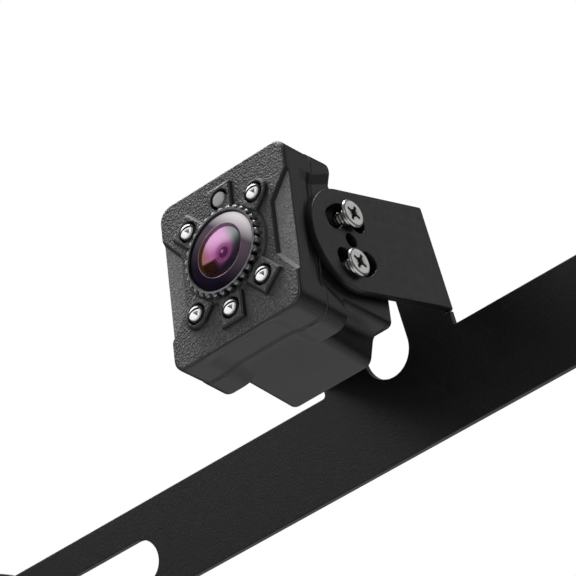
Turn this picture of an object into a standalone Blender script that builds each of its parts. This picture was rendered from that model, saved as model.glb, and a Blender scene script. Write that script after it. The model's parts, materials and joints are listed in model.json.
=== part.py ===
"""A licence-plate backup camera: a small square camera that tilts between the ears of a steel bar bracket.

The bar runs along X, the lens looks along -Y and tilts up at rest, and +Z is up. The origin is on the bar's
back face, at the middle of its length and height. Lengths are in metres, written as millimetres times MM.
"""

import math

import bmesh
import bpy
from mathutils import Matrix, Vector

MM = 0.001

# Bracket: one bent steel sheet
SHEET = 1.2 * MM
BAR_HEIGHT = 15.2 * MM
EYE_X = 88.9 * MM
EYE_RADIUS = 11.3 * MM
SLOT_DROP = 1.2 * MM  # the bar's slots and eyes are centred this far below its middle
SLOT_RADIUS = 3.5 * MM
SLOT_INNER_X = 55.8 * MM
SLOT_OUTER_X = 90.4 * MM
TAB_HALF_WIDTH = 13.6 * MM
BEND_RADIUS = 1.3 * MM  # outside of each ear's bend
EAR_RADIUS = 8.5 * MM
EAR_LIFT = 2.45 * MM  # from the bar's top edge to the ears' bottom edge
FOOT_HALF_WIDTH = 13.0 * MM  # the tab below its ears
FOOT_FILLET = 0.6 * MM
SLIT = 0.2 * MM  # between the foot and each ear, so that the sheet can bend
CABLE_HOLE_RADIUS = 4.4 * MM
CABLE_HOLE_LOW = 1.85 * MM  # lower arc's centre, above the bar's top edge
CABLE_HOLE_HIGH = 11.5 * MM

# Tilt axis, seen from the bracket
BAR_TOP = BAR_HEIGHT / 2
PIVOT_Y = -SHEET - 20.5 * MM
PIVOT_Z = BAR_TOP + EAR_LIFT + EAR_RADIUS
REST_TILT = math.radians(15.2)  # lens up
PIVOT_HOLE_RADIUS = 1.15 * MM
ARC_RADIUS = 4.28 * MM
ARC_HALF_WIDTH = 1.68 * MM
ARC_HALF_SWEEP = math.radians(41)

# Camera body, seen from the tilt axis: Y is depth, negative towards the lens
CENTRE_Z = -0.45 * MM  # the lens axis lies this far from the tilt axis
BODY_X = 12.65 * MM
BODY_Z = 14.5 * MM
BODY_CORNER = 2.2 * MM
FRONT_Y = -12.05 * MM
SEAM_Y = -6.2 * MM
POST_END_Y = -1.8 * MM
REAR_Y = 8.45 * MM
GAP = 0.3 * MM
CHANNEL = 0.5 * MM  # how deep the middle of the top and bottom faces lies below the corners
CHANNEL_X = 5.3 * MM
CREST_X = 7.6 * MM
RECESS_Z = 8.4 * MM
RECESS_Y = -8.9 * MM
RECESS_STEP_Y = -7.3 * MM
RECESS_STEP = 0.25 * MM
RECESS_GROOVE = 0.8 * MM
RECESS_GROOVE_WIDTH = 0.5 * MM
RECESS_RAMP = 1.7 * MM  # how gently the recess runs out at its top and bottom
POST_RECESS_Z = 10.4 * MM  # at their ends the corner posts are cut back this far, to pass the ears
SIDE_X = 12.1 * MM  # the flats that turn between the ears
CORE_TOP = 14.0 * MM  # half height of the rear core at the seam
CORE_RISE = 1.1 * MM  # and how much it grows towards the back
SHOULDER_Z = 10.25 * MM
REAR_PAD = 0.8 * MM  # how far the middle of the back stands out behind the core
FLARE = 0.3 * MM  # growth of the half height from the face to the ends of the posts
PLATE_BACK_Y = -10.25 * MM
REAR_WALL_Y = 6.7 * MM

# Front face
COLLAR_TOP_Y = -12.5 * MM
COLLAR_RADIUS = 7.9 * MM
BORE_RADIUS = 6.0 * MM
BOSS_TOP_Y = -12.85 * MM
BOSS_HALF_WIDTH = 2.3 * MM
BOSS_REACH = 2.5 * MM  # from the lamp's centre to the boss's outer end
WELL_RADIUS = 1.65 * MM
PANEL_DEPTH = 0.7 * MM
LAMP_X = 6.66 * MM
LAMP_Z = 7.24 * MM
LAMP_POLE = 9.56 * MM  # the lamp below the lens and the light sensor above it

# Lens, along its own axis
RING_RADIUS = 7.25 * MM
RING_TEETH = 30
RING_TOP_Y = -13.75 * MM
GLASS_RADIUS = 6.2 * MM
GLASS_RIM_Y = -13.45 * MM
GLASS_SAG = 1.75 * MM
BARREL_RADIUS = 5.7 * MM
TURNED_STEPS = 32

# Boards and fasteners
BOARD_Y = -0.9 * MM
BOARD_THICK = 1.0 * MM
LAMP_BOARD_Y = -9.6 * MM
CASE_SCREW_X = 10.5 * MM
CASE_SCREW_Z = 12.65 * MM
SCREW_SINK = 1.25 * MM  # the case screws' heads lie in the ends of the corner posts
SCREW_HEAD_RADIUS = 2.3 * MM
SCREW_SHANK_RADIUS = 1.3 * MM
INSERT_RADIUS = 1.95 * MM
BORE_LIP_X = 11.4 * MM  # the housing closes over each insert from here outwards
BORE_LIP_RADIUS = 1.6 * MM


def clear_scene():
    for item in list(bpy.data.objects):
        bpy.data.objects.remove(item, do_unlink=True)


def material(name, colour, roughness, metallic=0.0, transmission=0.0):
    found = bpy.data.materials.get(name)
    if found:
        return found
    made = bpy.data.materials.new(name)
    made.use_nodes = True
    shader = made.node_tree.nodes["Principled BSDF"]
    shader.inputs["Base Color"].default_value = (*colour, 1)
    shader.inputs["Roughness"].default_value = roughness
    shader.inputs["Metallic"].default_value = metallic
    shader.inputs["Transmission Weight"].default_value = transmission
    return made


def black_steel():
    return material("black_powder_coat", (0.02, 0.02, 0.021), 0.55)


def housing_plastic():
    return material("housing_plastic", (0.03, 0.03, 0.031), 0.5)


def lens_metal():
    return material("lens_black", (0.015, 0.015, 0.016), 0.4)


def clear_glass():
    return material("clear_glass", (0.9, 0.9, 0.95), 0.03, transmission=1.0)


def violet_glass():
    return material("coated_glass", (0.35, 0.1, 0.4), 0.05)


def screw_metal():
    return material("zinc_plated", (0.75, 0.74, 0.72), 0.3, metallic=1.0)


def brass():
    return material("brass", (0.7, 0.5, 0.2), 0.35, metallic=1.0)


def board_green():
    return material("circuit_board", (0.02, 0.16, 0.07), 0.5)


def chip_black():
    return material("chip_black", (0.03, 0.03, 0.035), 0.35)


def soft_rubber():
    return material("rubber", (0.025, 0.025, 0.025), 0.8)


def nylon_white():
    return material("nylon_white", (0.8, 0.8, 0.76), 0.5)


def sensor_grey():
    return material("sensor_grey", (0.25, 0.25, 0.26), 0.4)


def finish(name, bm, surface, parent=None, place=(0, 0, 0)):
    """The mesh as a named, smooth-shaded object with its origin at place under its parent."""
    bmesh.ops.recalc_face_normals(bm, faces=bm.faces)
    mesh = bpy.data.meshes.new(name)
    bm.to_mesh(mesh)
    bm.free()
    mesh.shade_smooth()
    mesh.set_sharp_from_angle(angle=math.radians(35))
    mesh.materials.append(surface)
    made = bpy.data.objects.new(name, mesh)
    bpy.context.scene.collection.objects.link(made)
    made.parent = parent
    made.location = place
    return made


def cut(target, tool, operation="DIFFERENCE"):
    """Boolean the tool into the target and hide the tool."""
    step = target.modifiers.new(tool.name, "BOOLEAN")
    step.operation = operation
    step.object = tool
    step.solver = "EXACT"
    tool.hide_render = True
    tool.display_type = "WIRE"


def join(target, tool):
    cut(target, tool, "UNION")


def arc(centre, radius, start, end, steps):
    """Points on an arc, from one angle to another, both ends included."""
    turn = (end - start) / steps
    return [
        (centre[0] + radius * math.cos(start + turn * i), centre[1] + radius * math.sin(start + turn * i))
        for i in range(steps + 1)
    ]


def prism(outline, low, high, axis="Y"):
    """A closed prism: the outline's two numbers are X and Z, or Y and Z when it is pushed along X."""
    bm = bmesh.new()
    if axis == "Y":
        corners = [bm.verts.new((a, low, b)) for a, b in outline]
        push = (0, high - low, 0)
    else:
        corners = [bm.verts.new((low, a, b)) for a, b in outline]
        push = (high - low, 0, 0)
    base = bm.faces.new(corners)
    grown = bmesh.ops.extrude_face_region(bm, geom=[base], use_keep_orig=True)
    moved = [item for item in grown["geom"] if isinstance(item, bmesh.types.BMVert)]
    bmesh.ops.translate(bm, verts=moved, vec=push)
    return bm


def chamfer_front(bm, front, width):
    """Break the prism's edges that lie in the plane Y = front."""
    edges = [edge for edge in bm.edges if all(abs(v.co.y - front) < 1e-7 for v in edge.verts)]
    bmesh.ops.bevel(bm, geom=edges, offset=width, segments=2, profile=0.5, affect="EDGES")
    return bm


def turned(profile, steps=TURNED_STEPS, axis="Y"):
    """A solid of revolution from (radius, station) points; it closes itself at the axis or as a ring."""
    bm = bmesh.new()
    verts = [bm.verts.new((radius, station, 0)) for radius, station in profile]
    on_axis = profile[0][0] == 0 and profile[-1][0] == 0
    pairs = list(zip(verts, verts[1:])) + ([] if on_axis else [(verts[-1], verts[0])])
    edges = [bm.edges.new(pair) for pair in pairs]
    bmesh.ops.spin(
        bm, geom=verts + edges, cent=(0, 0, 0), axis=(0, 1, 0), dvec=(0, 0, 0),
        angle=2 * math.pi, steps=steps, use_merge=True,
    )
    bmesh.ops.remove_doubles(bm, verts=bm.verts, dist=1e-7)
    if axis == "X":
        bmesh.ops.rotate(bm, verts=bm.verts, matrix=Matrix.Rotation(-math.pi / 2, 3, "Z"))
    return bm


def disc(radius, low, high, steps=TURNED_STEPS):
    return turned([(0, low), (radius, low), (radius, high), (0, high)], steps)


def ring(inner, outer, low, high, steps=TURNED_STEPS):
    return turned([(inner, low), (outer, low), (outer, high), (inner, high)], steps)


def rod_x(radius, low, high, steps=16):
    return turned([(0, low), (radius, low), (radius, high), (0, high)], steps, axis="X")


def box(size, centre):
    bm = bmesh.new()
    bmesh.ops.create_cube(bm, size=1, matrix=Matrix.Translation(centre) @ Matrix.Diagonal((*size, 1)))
    return bm


def softened(corners, steps=3):
    """The closed outline with each (x, z, reach) corner turned into an arc that starts reach before it."""
    points = []
    for i, (x, z, reach) in enumerate(corners):
        corner = Vector((x, z))
        before = Vector(corners[i - 1][:2]) - corner
        after = Vector(corners[(i + 1) % len(corners)][:2]) - corner
        start = corner + before.normalized() * reach
        end = corner + after.normalized() * reach
        weight = math.sin(before.angle(after) / 2)
        for k in range(steps + 1):
            t = k / steps
            parts = ((1 - t) ** 2, 2 * t * (1 - t) * weight, t**2)
            point = (start * parts[0] + corner * parts[1] + end * parts[2]) / sum(parts)
            points.append((point.x, point.y))
    return points


def mirrored_corners(quarter):
    """A whole outline from the corners of its upper right quarter, listed from the top round to the side."""
    upper = quarter + [(x, -z, reach) for x, z, reach in reversed(quarter)]
    return upper + [(-x, z, reach) for x, z, reach in reversed(upper)]


def loft(sections):
    """A closed skin through (station, outline) sections, pushed along Y."""
    bm = bmesh.new()
    loops = [[bm.verts.new((x, station, z)) for x, z in outline] for station, outline in sections]
    for near, far in zip(loops, loops[1:]):
        for i in range(len(near)):
            k = (i + 1) % len(near)
            bm.faces.new((near[i], near[k], far[k]))
            bm.faces.new((near[i], far[k], far[i]))
    bm.faces.new(loops[0])
    bm.faces.new(loops[-1])
    return bm


def shell_section(inset=0.0, channel=0.0, recess=0.0, recess_z=RECESS_Z, flare=0.0):
    """The housing's outline where it has its four full corners."""
    half_x = BODY_X - inset
    half_z = BODY_Z - inset + flare
    quarter = [
        (CHANNEL_X, half_z - channel, 1.0 * MM),
        (CREST_X, half_z, 0.9 * MM),
        (half_x, half_z, BODY_CORNER),
        (half_x, recess_z + RECESS_RAMP, 0.1 * MM),
        (half_x - recess, recess_z, 0.1 * MM),
    ]
    return softened(mirrored_corners(quarter))


def core_section(top, inset=0.0):
    """The plus-shaped outline of the back of the housing, cut away at its corners for the case screws."""
    quarter = [
        (7.8 * MM - inset, top - inset, 1.1 * MM),
        (9.0 * MM - inset, SHOULDER_Z + 0.4 * MM - inset, 0.9 * MM),
        (SIDE_X - inset, SHOULDER_Z - inset, 0.9 * MM),
    ]
    return softened(mirrored_corners(quarter))


def pad_section(inset):
    """The rounded rectangle in the middle of the back, between the ears."""
    inset += 0.02 * MM
    return softened(mirrored_corners([(SIDE_X - inset, SHOULDER_Z - inset, 0.9 * MM)]))


def plus_outline(wide, low, narrow, high):
    """Two crossed rectangles: wide x low and narrow x high, all half sizes."""
    quarter = [(narrow, high), (narrow, low), (wide, low)]
    right = quarter + [(x, -z) for x, z in reversed(quarter)]
    return right + [(-x, z) for x, z in reversed(right)]


def obround(low, high, radius, steps=12):
    """A slot's outline along its first coordinate, between two arc centres."""
    return arc(high, radius, -math.pi / 2, math.pi / 2, steps) + arc(
        low, radius, math.pi / 2, 1.5 * math.pi, steps
    )


def bar_outline():
    """Bar, round eyes and the foot of the tab, in X and Z."""
    eye = (EYE_X, -SLOT_DROP)
    low = math.asin((-BAR_TOP + SLOT_DROP) / EYE_RADIUS)
    high = math.asin((BAR_TOP + SLOT_DROP) / EYE_RADIUS)
    right = [(0, -BAR_TOP)] + arc(eye, EYE_RADIUS, -math.pi - low, math.pi - high, 36)
    fillet = (FOOT_HALF_WIDTH + FOOT_FILLET, BAR_TOP + FOOT_FILLET)
    right += arc(fillet, FOOT_FILLET, 1.5 * math.pi, math.pi, 3)
    relief = BAR_TOP + EAR_LIFT - SLIT
    relief_x = TAB_HALF_WIDTH - BEND_RADIUS - 0.3 * MM
    right += [(FOOT_HALF_WIDTH, relief), (relief_x, relief), (relief_x, relief + 3 * MM)]
    return right + [(-x, z) for x, z in reversed(right[1:])]


def channel_outline(front):
    """The tab and its two ears seen from above, in X and Y, with round bends."""
    inside = BEND_RADIUS - SHEET
    edge = TAB_HALF_WIDTH
    right = [(edge - SHEET, front), (edge, front)]
    right += arc((edge - BEND_RADIUS, -BEND_RADIUS), BEND_RADIUS, 0, math.pi / 2, 6)
    inner = arc((edge - BEND_RADIUS, -BEND_RADIUS), inside, math.pi / 2, 0, 6)
    return [(-x, y) for x, y in reversed(right)], right, inner


def ear_channel():
    left, right, inner = channel_outline(PIVOT_Y - 2 * EAR_RADIUS)
    outline = right + left + [(-x, y) for x, y in reversed(inner)] + inner
    low = BAR_TOP + EAR_LIFT
    bm = bmesh.new()
    base = bm.faces.new([bm.verts.new((x, y, low)) for x, y in outline])
    grown = bmesh.ops.extrude_face_region(bm, geom=[base], use_keep_orig=True)
    moved = [item for item in grown["geom"] if isinstance(item, bmesh.types.BMVert)]
    bmesh.ops.translate(bm, verts=moved, vec=(0, 0, 2 * EAR_RADIUS))
    return bm


def ear_side_outline():
    """An ear from the side, in Y and Z: straight at the tab and round at the front."""
    round_end = arc((PIVOT_Y, PIVOT_Z), EAR_RADIUS, math.pi / 2, 1.5 * math.pi, 32)
    margin = 1 * MM
    return [(margin, PIVOT_Z + EAR_RADIUS)] + round_end + [(margin, PIVOT_Z - EAR_RADIUS)]


def arc_slot_outline(upper):
    """A curved slot about the tilt axis, in Y and Z."""
    middle = math.pi / 2 if upper else -math.pi / 2
    start, end = middle - ARC_HALF_SWEEP, middle + ARC_HALF_SWEEP
    pivot = (PIVOT_Y, PIVOT_Z)
    caps = [
        (PIVOT_Y + ARC_RADIUS * math.cos(angle), PIVOT_Z + ARC_RADIUS * math.sin(angle))
        for angle in (end, start)
    ]
    outline = arc(pivot, ARC_RADIUS + ARC_HALF_WIDTH, start, end, 14)
    outline += arc(caps[0], ARC_HALF_WIDTH, end, end + math.pi, 8)[1:-1]
    outline += arc(pivot, ARC_RADIUS - ARC_HALF_WIDTH, end, start, 14)
    outline += arc(caps[1], ARC_HALF_WIDTH, start + math.pi, start + 2 * math.pi, 8)[1:-1]
    return outline


def make_bracket():
    bracket = finish("bracket", prism(bar_outline(), -SHEET, 0), black_steel())
    channel = finish("ear_channel", ear_channel(), black_steel())
    cut(channel, finish("ear_trim", prism(ear_side_outline(), -0.03, 0.03, "X"), black_steel()), "INTERSECT")
    join(bracket, channel)
    through = (-SHEET - 1 * MM, 1 * MM)
    for side in (-1, 1):
        ends = sorted((side * SLOT_INNER_X, side * SLOT_OUTER_X))
        outline = obround((ends[0], -SLOT_DROP), (ends[1], -SLOT_DROP), SLOT_RADIUS)
        cut(bracket, finish(f"bar_slot_cutter_{side}", prism(outline, *through), black_steel()))
    tall = obround((BAR_TOP + CABLE_HOLE_LOW, 0), (BAR_TOP + CABLE_HOLE_HIGH, 0), CABLE_HOLE_RADIUS)
    hole = [(across, up) for up, across in tall]
    cut(bracket, finish("cable_hole_cutter", prism(hole, *through), black_steel()))
    span = (-TAB_HALF_WIDTH - 1 * MM, TAB_HALF_WIDTH + 1 * MM)
    for upper in (True, False):
        slot = prism(arc_slot_outline(upper), *span, "X")
        cut(bracket, finish(f"arc_slot_cutter_{upper}", slot, black_steel()))
    pivot_hole = arc((PIVOT_Y, PIVOT_Z), PIVOT_HOLE_RADIUS, 0, 2 * math.pi, 20)[:-1]
    cut(bracket, finish("pivot_hole_cutter", prism(pivot_hole, *span, "X"), black_steel()))


def camera_frame():
    """The empty on the tilt axis that carries the camera, with the lens axis level in its own frame."""
    frame = bpy.data.objects.new("camera_frame", None)
    bpy.context.scene.collection.objects.link(frame)
    frame.location = (0, PIVOT_Y, PIVOT_Z)
    frame.rotation_euler = (-REST_TILT, 0, 0)
    return frame


def lamp_places():
    """The five lamps' centres round the lens: two above, three below."""
    upper = [(side * LAMP_X, LAMP_Z) for side in (1, -1)]
    lower = [(side * LAMP_X, -LAMP_Z) for side in (-1, 1)]
    return [*upper, lower[0], (0, -LAMP_POLE), lower[1]]


def lamp_boss(place, round_end):
    """A raised bar that runs out from the collar and ends round or square behind its lamp."""
    distance = math.hypot(*place)
    half = BOSS_HALF_WIDTH
    root = COLLAR_RADIUS - 0.35 * MM
    if round_end:
        tip = arc((0, distance), half, 0, math.pi, 12)
    else:
        end = distance + BOSS_REACH
        tip = [(half, end), (-half, end)]
    bm = prism([(-half, root), (half, root), *tip], BOSS_TOP_Y, FRONT_Y + 0.8 * MM)
    chamfer_front(bm, BOSS_TOP_Y, 0.25 * MM)
    heading = math.atan2(place[0], place[1])
    bmesh.ops.rotate(bm, verts=bm.verts, matrix=Matrix.Rotation(heading, 3, "Y"))
    return bm


def side_panel(side):
    """The lowered panel beside the lens: short on the inside, long at the housing's edge."""
    outline = [(9.5, 4.45), (13.5, 9.6), (13.5, -9.6), (9.5, -4.45)]
    points = [(side * x * MM, z * MM) for x, z in outline]
    return prism(points, FRONT_Y - 1 * MM, FRONT_Y + PANEL_DEPTH)


def case_screw_places():
    return [(x * CASE_SCREW_X, z * CASE_SCREW_Z) for x in (-1, 1) for z in (-1, 1)]


def cavity(low, high):
    return prism(plus_outline(10.2 * MM, 8.9 * MM, 6.4 * MM, 12.0 * MM), low, high)


def make_front_housing(frame):
    centre = (0, 0, CENTRE_Z)
    seam = SEAM_Y - GAP / 2
    side = BODY_X - SIDE_X
    groove_end = RECESS_STEP_Y + RECESS_GROOVE_WIDTH
    sections = [
        (FRONT_Y, shell_section(inset=0.55 * MM)),
        (FRONT_Y + 0.13 * MM, shell_section(inset=0.25 * MM)),
        (FRONT_Y + 0.4 * MM, shell_section(inset=0.04 * MM, channel=0.02 * MM)),
        (FRONT_Y + 0.9 * MM, shell_section(channel=0.2 * MM)),
        (FRONT_Y + 1.8 * MM, shell_section(channel=CHANNEL)),
        (RECESS_Y - 0.1 * MM, shell_section(channel=CHANNEL)),
        (RECESS_Y, shell_section(channel=CHANNEL, recess=RECESS_STEP)),
        (RECESS_STEP_Y - 0.1 * MM, shell_section(channel=CHANNEL, recess=RECESS_STEP)),
        (RECESS_STEP_Y, shell_section(channel=CHANNEL, recess=RECESS_GROOVE)),
        (groove_end, shell_section(channel=CHANNEL, recess=RECESS_GROOVE)),
        (groove_end + 0.1 * MM, shell_section(channel=CHANNEL, recess=side)),
        (seam - 0.1 * MM, shell_section(channel=CHANNEL, recess=side, flare=FLARE / 2)),
        (seam, shell_section(inset=0.1 * MM, channel=CHANNEL, recess=side - 0.1 * MM, flare=FLARE / 2)),
    ]
    housing = finish("front_housing", loft(sections), housing_plastic(), frame, centre)
    for side in (-1, 1):
        cut(housing, finish(f"panel_cutter_{side}", side_panel(side), housing_plastic(), frame, centre))
    collar = turned([
        (BORE_RADIUS - 0.5 * MM, FRONT_Y + 0.5 * MM),
        (BORE_RADIUS - 0.5 * MM, COLLAR_TOP_Y),
        (COLLAR_RADIUS - 0.3 * MM, COLLAR_TOP_Y),
        (COLLAR_RADIUS - 0.1 * MM, COLLAR_TOP_Y + 0.15 * MM),
        (COLLAR_RADIUS, FRONT_Y + 0.5 * MM),
    ])
    for i, place in enumerate([*lamp_places(), (0, LAMP_POLE)]):
        boss = lamp_boss(place, round_end=i in (0, 2))
        join(housing, finish(f"lamp_boss_{i}", boss, housing_plastic(), frame, centre))
    join(housing, finish("collar", collar, housing_plastic(), frame, centre))
    bore = disc(BORE_RADIUS, FRONT_Y - 3 * MM, PLATE_BACK_Y + 1 * MM)
    cut(housing, finish("lens_bore_cutter", bore, housing_plastic(), frame, centre))
    for i, (x, z) in enumerate([*lamp_places(), (0, LAMP_POLE)]):
        well = disc(WELL_RADIUS, FRONT_Y - 2 * MM, PLATE_BACK_Y + 1 * MM, 20)
        place = (x, 0, z + CENTRE_Z)
        cut(housing, finish(f"well_cutter_{i}", well, housing_plastic(), frame, place))
    cut(housing, finish("front_cavity", cavity(PLATE_BACK_Y, 0), housing_plastic(), frame, centre))
    groove = prism(plus_outline(11.2 * MM, 9.9 * MM, 7.4 * MM, 12.9 * MM), seam - 1 * MM, 0)
    cut(housing, finish("seal_groove", groove, housing_plastic(), frame, centre))
    for i, (x, z) in enumerate(case_screw_places()):
        hole = disc(1.0 * MM, seam - 3.2 * MM, 0, 12)
        cut(housing, finish(f"front_hole_{i}", hole, housing_plastic(), frame, (x, 0, z + CENTRE_Z)))


def tilt_screw_places():
    """Heights of the two screws on each side, above and below the tilt axis."""
    return {"upper": ARC_RADIUS, "lower": -ARC_RADIUS}


def make_rear_housing(frame):
    centre = (0, 0, CENTRE_Z)
    start = SEAM_Y + GAP / 2
    side = BODY_X - SIDE_X + 0.02 * MM
    channel = CHANNEL + 0.2 * MM
    rear_top = CORE_TOP + CORE_RISE
    core = [
        (start, core_section(CORE_TOP)),
        (REAR_Y - 0.5 * MM, core_section(rear_top)),
        (REAR_Y - 0.15 * MM, core_section(rear_top, 0.1 * MM)),
        (REAR_Y, core_section(rear_top, 0.4 * MM)),
    ]
    housing = finish("rear_housing", loft(core), housing_plastic(), frame, centre)
    posts = [
        (start, shell_section(0.1 * MM, channel, side - 0.1 * MM, flare=FLARE / 2)),
        (start + 0.1 * MM, shell_section(0, channel, side, flare=FLARE / 2)),
        (POST_END_Y - 0.15 * MM, shell_section(0, channel, side, POST_RECESS_Z, FLARE)),
        (POST_END_Y, shell_section(0.15 * MM, channel, side - 0.15 * MM, POST_RECESS_Z, FLARE)),
    ]
    join(housing, finish("corner_posts", loft(posts), housing_plastic(), frame, centre))
    back = REAR_Y + REAR_PAD
    pad = [
        (REAR_Y - 1 * MM, pad_section(0)),
        (back - 0.6 * MM, pad_section(0)),
        (back - 0.15 * MM, pad_section(0.15 * MM)),
        (back, pad_section(0.5 * MM)),
    ]
    join(housing, finish("rear_pad", loft(pad), housing_plastic(), frame, centre))
    cut(housing, finish("rear_cavity", cavity(-8 * MM, REAR_WALL_Y), housing_plastic(), frame, centre))
    for side in (-1, 1):
        for name, height in tilt_screw_places().items():
            ends = sorted((side * 8.7 * MM, side * 11.0 * MM))
            boss = rod_x(3.0 * MM, *ends)
            join(housing, finish(f"boss_{side}_{name}", boss, housing_plastic(), frame, (0, 0, height)))
            bores = (
                ("insert", INSERT_RADIUS + 0.2 * MM, 8.0 * MM, BORE_LIP_X),
                ("screw", BORE_LIP_RADIUS, 8.0 * MM, 14.0 * MM),
            )
            for use, radius, inner, outer in bores:
                bore = rod_x(radius, *sorted((side * inner, side * outer)))
                label = f"{use}_bore_{side}_{name}"
                cut(housing, finish(label, bore, housing_plastic(), frame, (0, 0, height)))
    gland_bore = disc(3.0 * MM, REAR_WALL_Y - 1 * MM, back + 1 * MM, 24)
    cut(housing, finish("gland_bore", gland_bore, housing_plastic(), frame, centre))
    for i, (x, z) in enumerate(case_screw_places()):
        place = (x, 0, z + CENTRE_Z)
        hole = disc(1.0 * MM, -8 * MM, 0, 12)
        cut(housing, finish(f"rear_hole_{i}", hole, housing_plastic(), frame, place))
        sink = disc(1.25 * MM, POST_END_Y - SCREW_SINK, 0, 12)
        cut(housing, finish(f"head_sink_{i}", sink, housing_plastic(), frame, place))


def make_housing_seal(frame):
    seam = SEAM_Y - GAP / 2
    low, high = seam - 0.7 * MM, seam
    seal = prism(plus_outline(10.9 * MM, 9.6 * MM, 7.1 * MM, 12.6 * MM), low, high)
    made = finish("housing_seal", seal, soft_rubber(), frame, (0, 0, CENTRE_Z))
    inside = prism(plus_outline(10.2 * MM, 8.9 * MM, 6.4 * MM, 12.0 * MM), low - GAP, high + GAP)
    cut(made, finish("seal_window", inside, soft_rubber(), frame, (0, 0, CENTRE_Z)))


def toothed_ring():
    """The knurled ring that grips the lens: a turned ring whose outer wall is cut into teeth."""
    bm = bmesh.new()
    steps = RING_TEETH * 4
    lip, seat, back = RING_TOP_Y, -12.95 * MM, -12.7 * MM
    loops = []
    for radius, station, toothed in (
        (BARREL_RADIUS + 0.15 * MM, back, False),
        (RING_RADIUS, back, True),
        (RING_RADIUS, lip + 0.15 * MM, True),
        (GLASS_RADIUS + 0.15 * MM, lip, False),
        (GLASS_RADIUS + 0.15 * MM, seat, False),
        (BARREL_RADIUS + 0.15 * MM, seat, False),
    ):
        loop = []
        for i in range(steps):
            dip = 0.42 * MM if toothed and i % 4 in (2, 3) else 0
            angle = 2 * math.pi * i / steps
            reach = radius - dip
            loop.append(bm.verts.new((reach * math.cos(angle), station, reach * math.sin(angle))))
        loops.append(loop)
    for near, far in zip(loops, [*loops[1:], loops[0]]):
        for i in range(steps):
            k = (i + 1) % steps
            bm.faces.new((near[i], near[k], far[k], far[i]))
    return bm


def dome_profile(radius, rim, sag, steps):
    """(radius, station) points of a spherical cap from its apex, sag in front of the rim, out to the rim."""
    curve = (radius**2 + sag**2) / (2 * sag)
    reach = math.asin(radius / curve)
    centre = rim - sag + curve
    return [
        (curve * math.sin(reach * i / steps), centre - curve * math.cos(reach * i / steps))
        for i in range(steps + 1)
    ]


def make_lens(frame):
    centre = (0, 0, CENTRE_Z)
    finish("lens_ring", toothed_ring(), lens_metal(), frame, centre)
    barrel = [
        (4.5, -12.8), (BARREL_RADIUS / MM, -12.8), (BARREL_RADIUS / MM, -4.4), (3.2, -4.4),
        (3.2, -4.8), (4.0, -4.8), (4.0, -7.6), (2.6, -7.6), (2.6, -8.4), (4.5, -8.4),
    ]
    finish("lens_barrel", turned([(r * MM, y * MM) for r, y in barrel]), lens_metal(), frame, centre)
    front = dome_profile(GLASS_RADIUS, GLASS_RIM_Y, GLASS_SAG, 6)
    hollow = dome_profile(4.35 * MM, -13.1 * MM, 1.2 * MM, 4)
    meniscus = front + [(GLASS_RADIUS, -13.1 * MM)] + hollow[::-1]
    finish("front_glass", turned(meniscus), clear_glass(), frame, centre)
    second = dome_profile(4.2 * MM, -12.75 * MM, 1.15 * MM, 4)
    second += [(4.2 * MM, -11.6 * MM), (0, -11.6 * MM)]
    finish("second_lens", turned(second), violet_glass(), frame, centre)
    finish("aperture_disc", ring(1.1 * MM, 4.2 * MM, -9.0 * MM, -8.7 * MM, 24), lens_metal(), frame, centre)
    rear = dome_profile(3.7 * MM, -6.4 * MM, 0.6 * MM, 3)
    rear += [(3.7 * MM, -5.1 * MM), (0, -5.1 * MM)]
    finish("rear_lens", turned(rear), clear_glass(), frame, centre)


def make_imaging(frame):
    """The focus thread's holder, the infrared filter, the image sensor and its board."""
    centre = (0, 0, CENTRE_Z)
    holder = [
        (5.9, -8.2), (7.0, -8.2), (7.0, -1.2), (5.0, -1.2),
        (5.0, -2.3), (3.6, -2.3), (3.6, -3.2), (5.9, -3.2),
    ]
    finish("lens_holder", turned([(r * MM, y * MM) for r, y in holder]), chip_black(), frame, centre)
    finish("ir_filter", disc(4.6 * MM, -3.95 * MM, -3.5 * MM, 32), clear_glass(), frame, centre)
    sensor = box((6.4 * MM, 0.8 * MM, 6.4 * MM), (0, -1.6 * MM, 0))
    finish("image_sensor", sensor, chip_black(), frame, centre)
    board = box((15.2 * MM, BOARD_THICK, 17.2 * MM), (0, BOARD_Y + BOARD_THICK / 2, 0))
    finish("sensor_board", board, board_green(), frame, centre)
    plug = box((6.0 * MM, 2.8 * MM, 3.6 * MM), (0, 1.8 * MM, -4.5 * MM))
    finish("board_connector", plug, nylon_white(), frame, centre)
    names = ("lower_left", "upper_left", "lower_right", "upper_right")
    places = [(x * 6.4 * MM, z * 7.4 * MM) for x in (-1, 1) for z in (-1, 1)]
    for name, (x, z) in zip(names, places):
        low, high = LAMP_BOARD_Y + BOARD_THICK + GAP, BOARD_Y - GAP
        spacer = disc(1.0 * MM, low, high, 12)
        finish(f"board_spacer_{name}", spacer, brass(), frame, (x, 0, z + CENTRE_Z))


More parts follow.
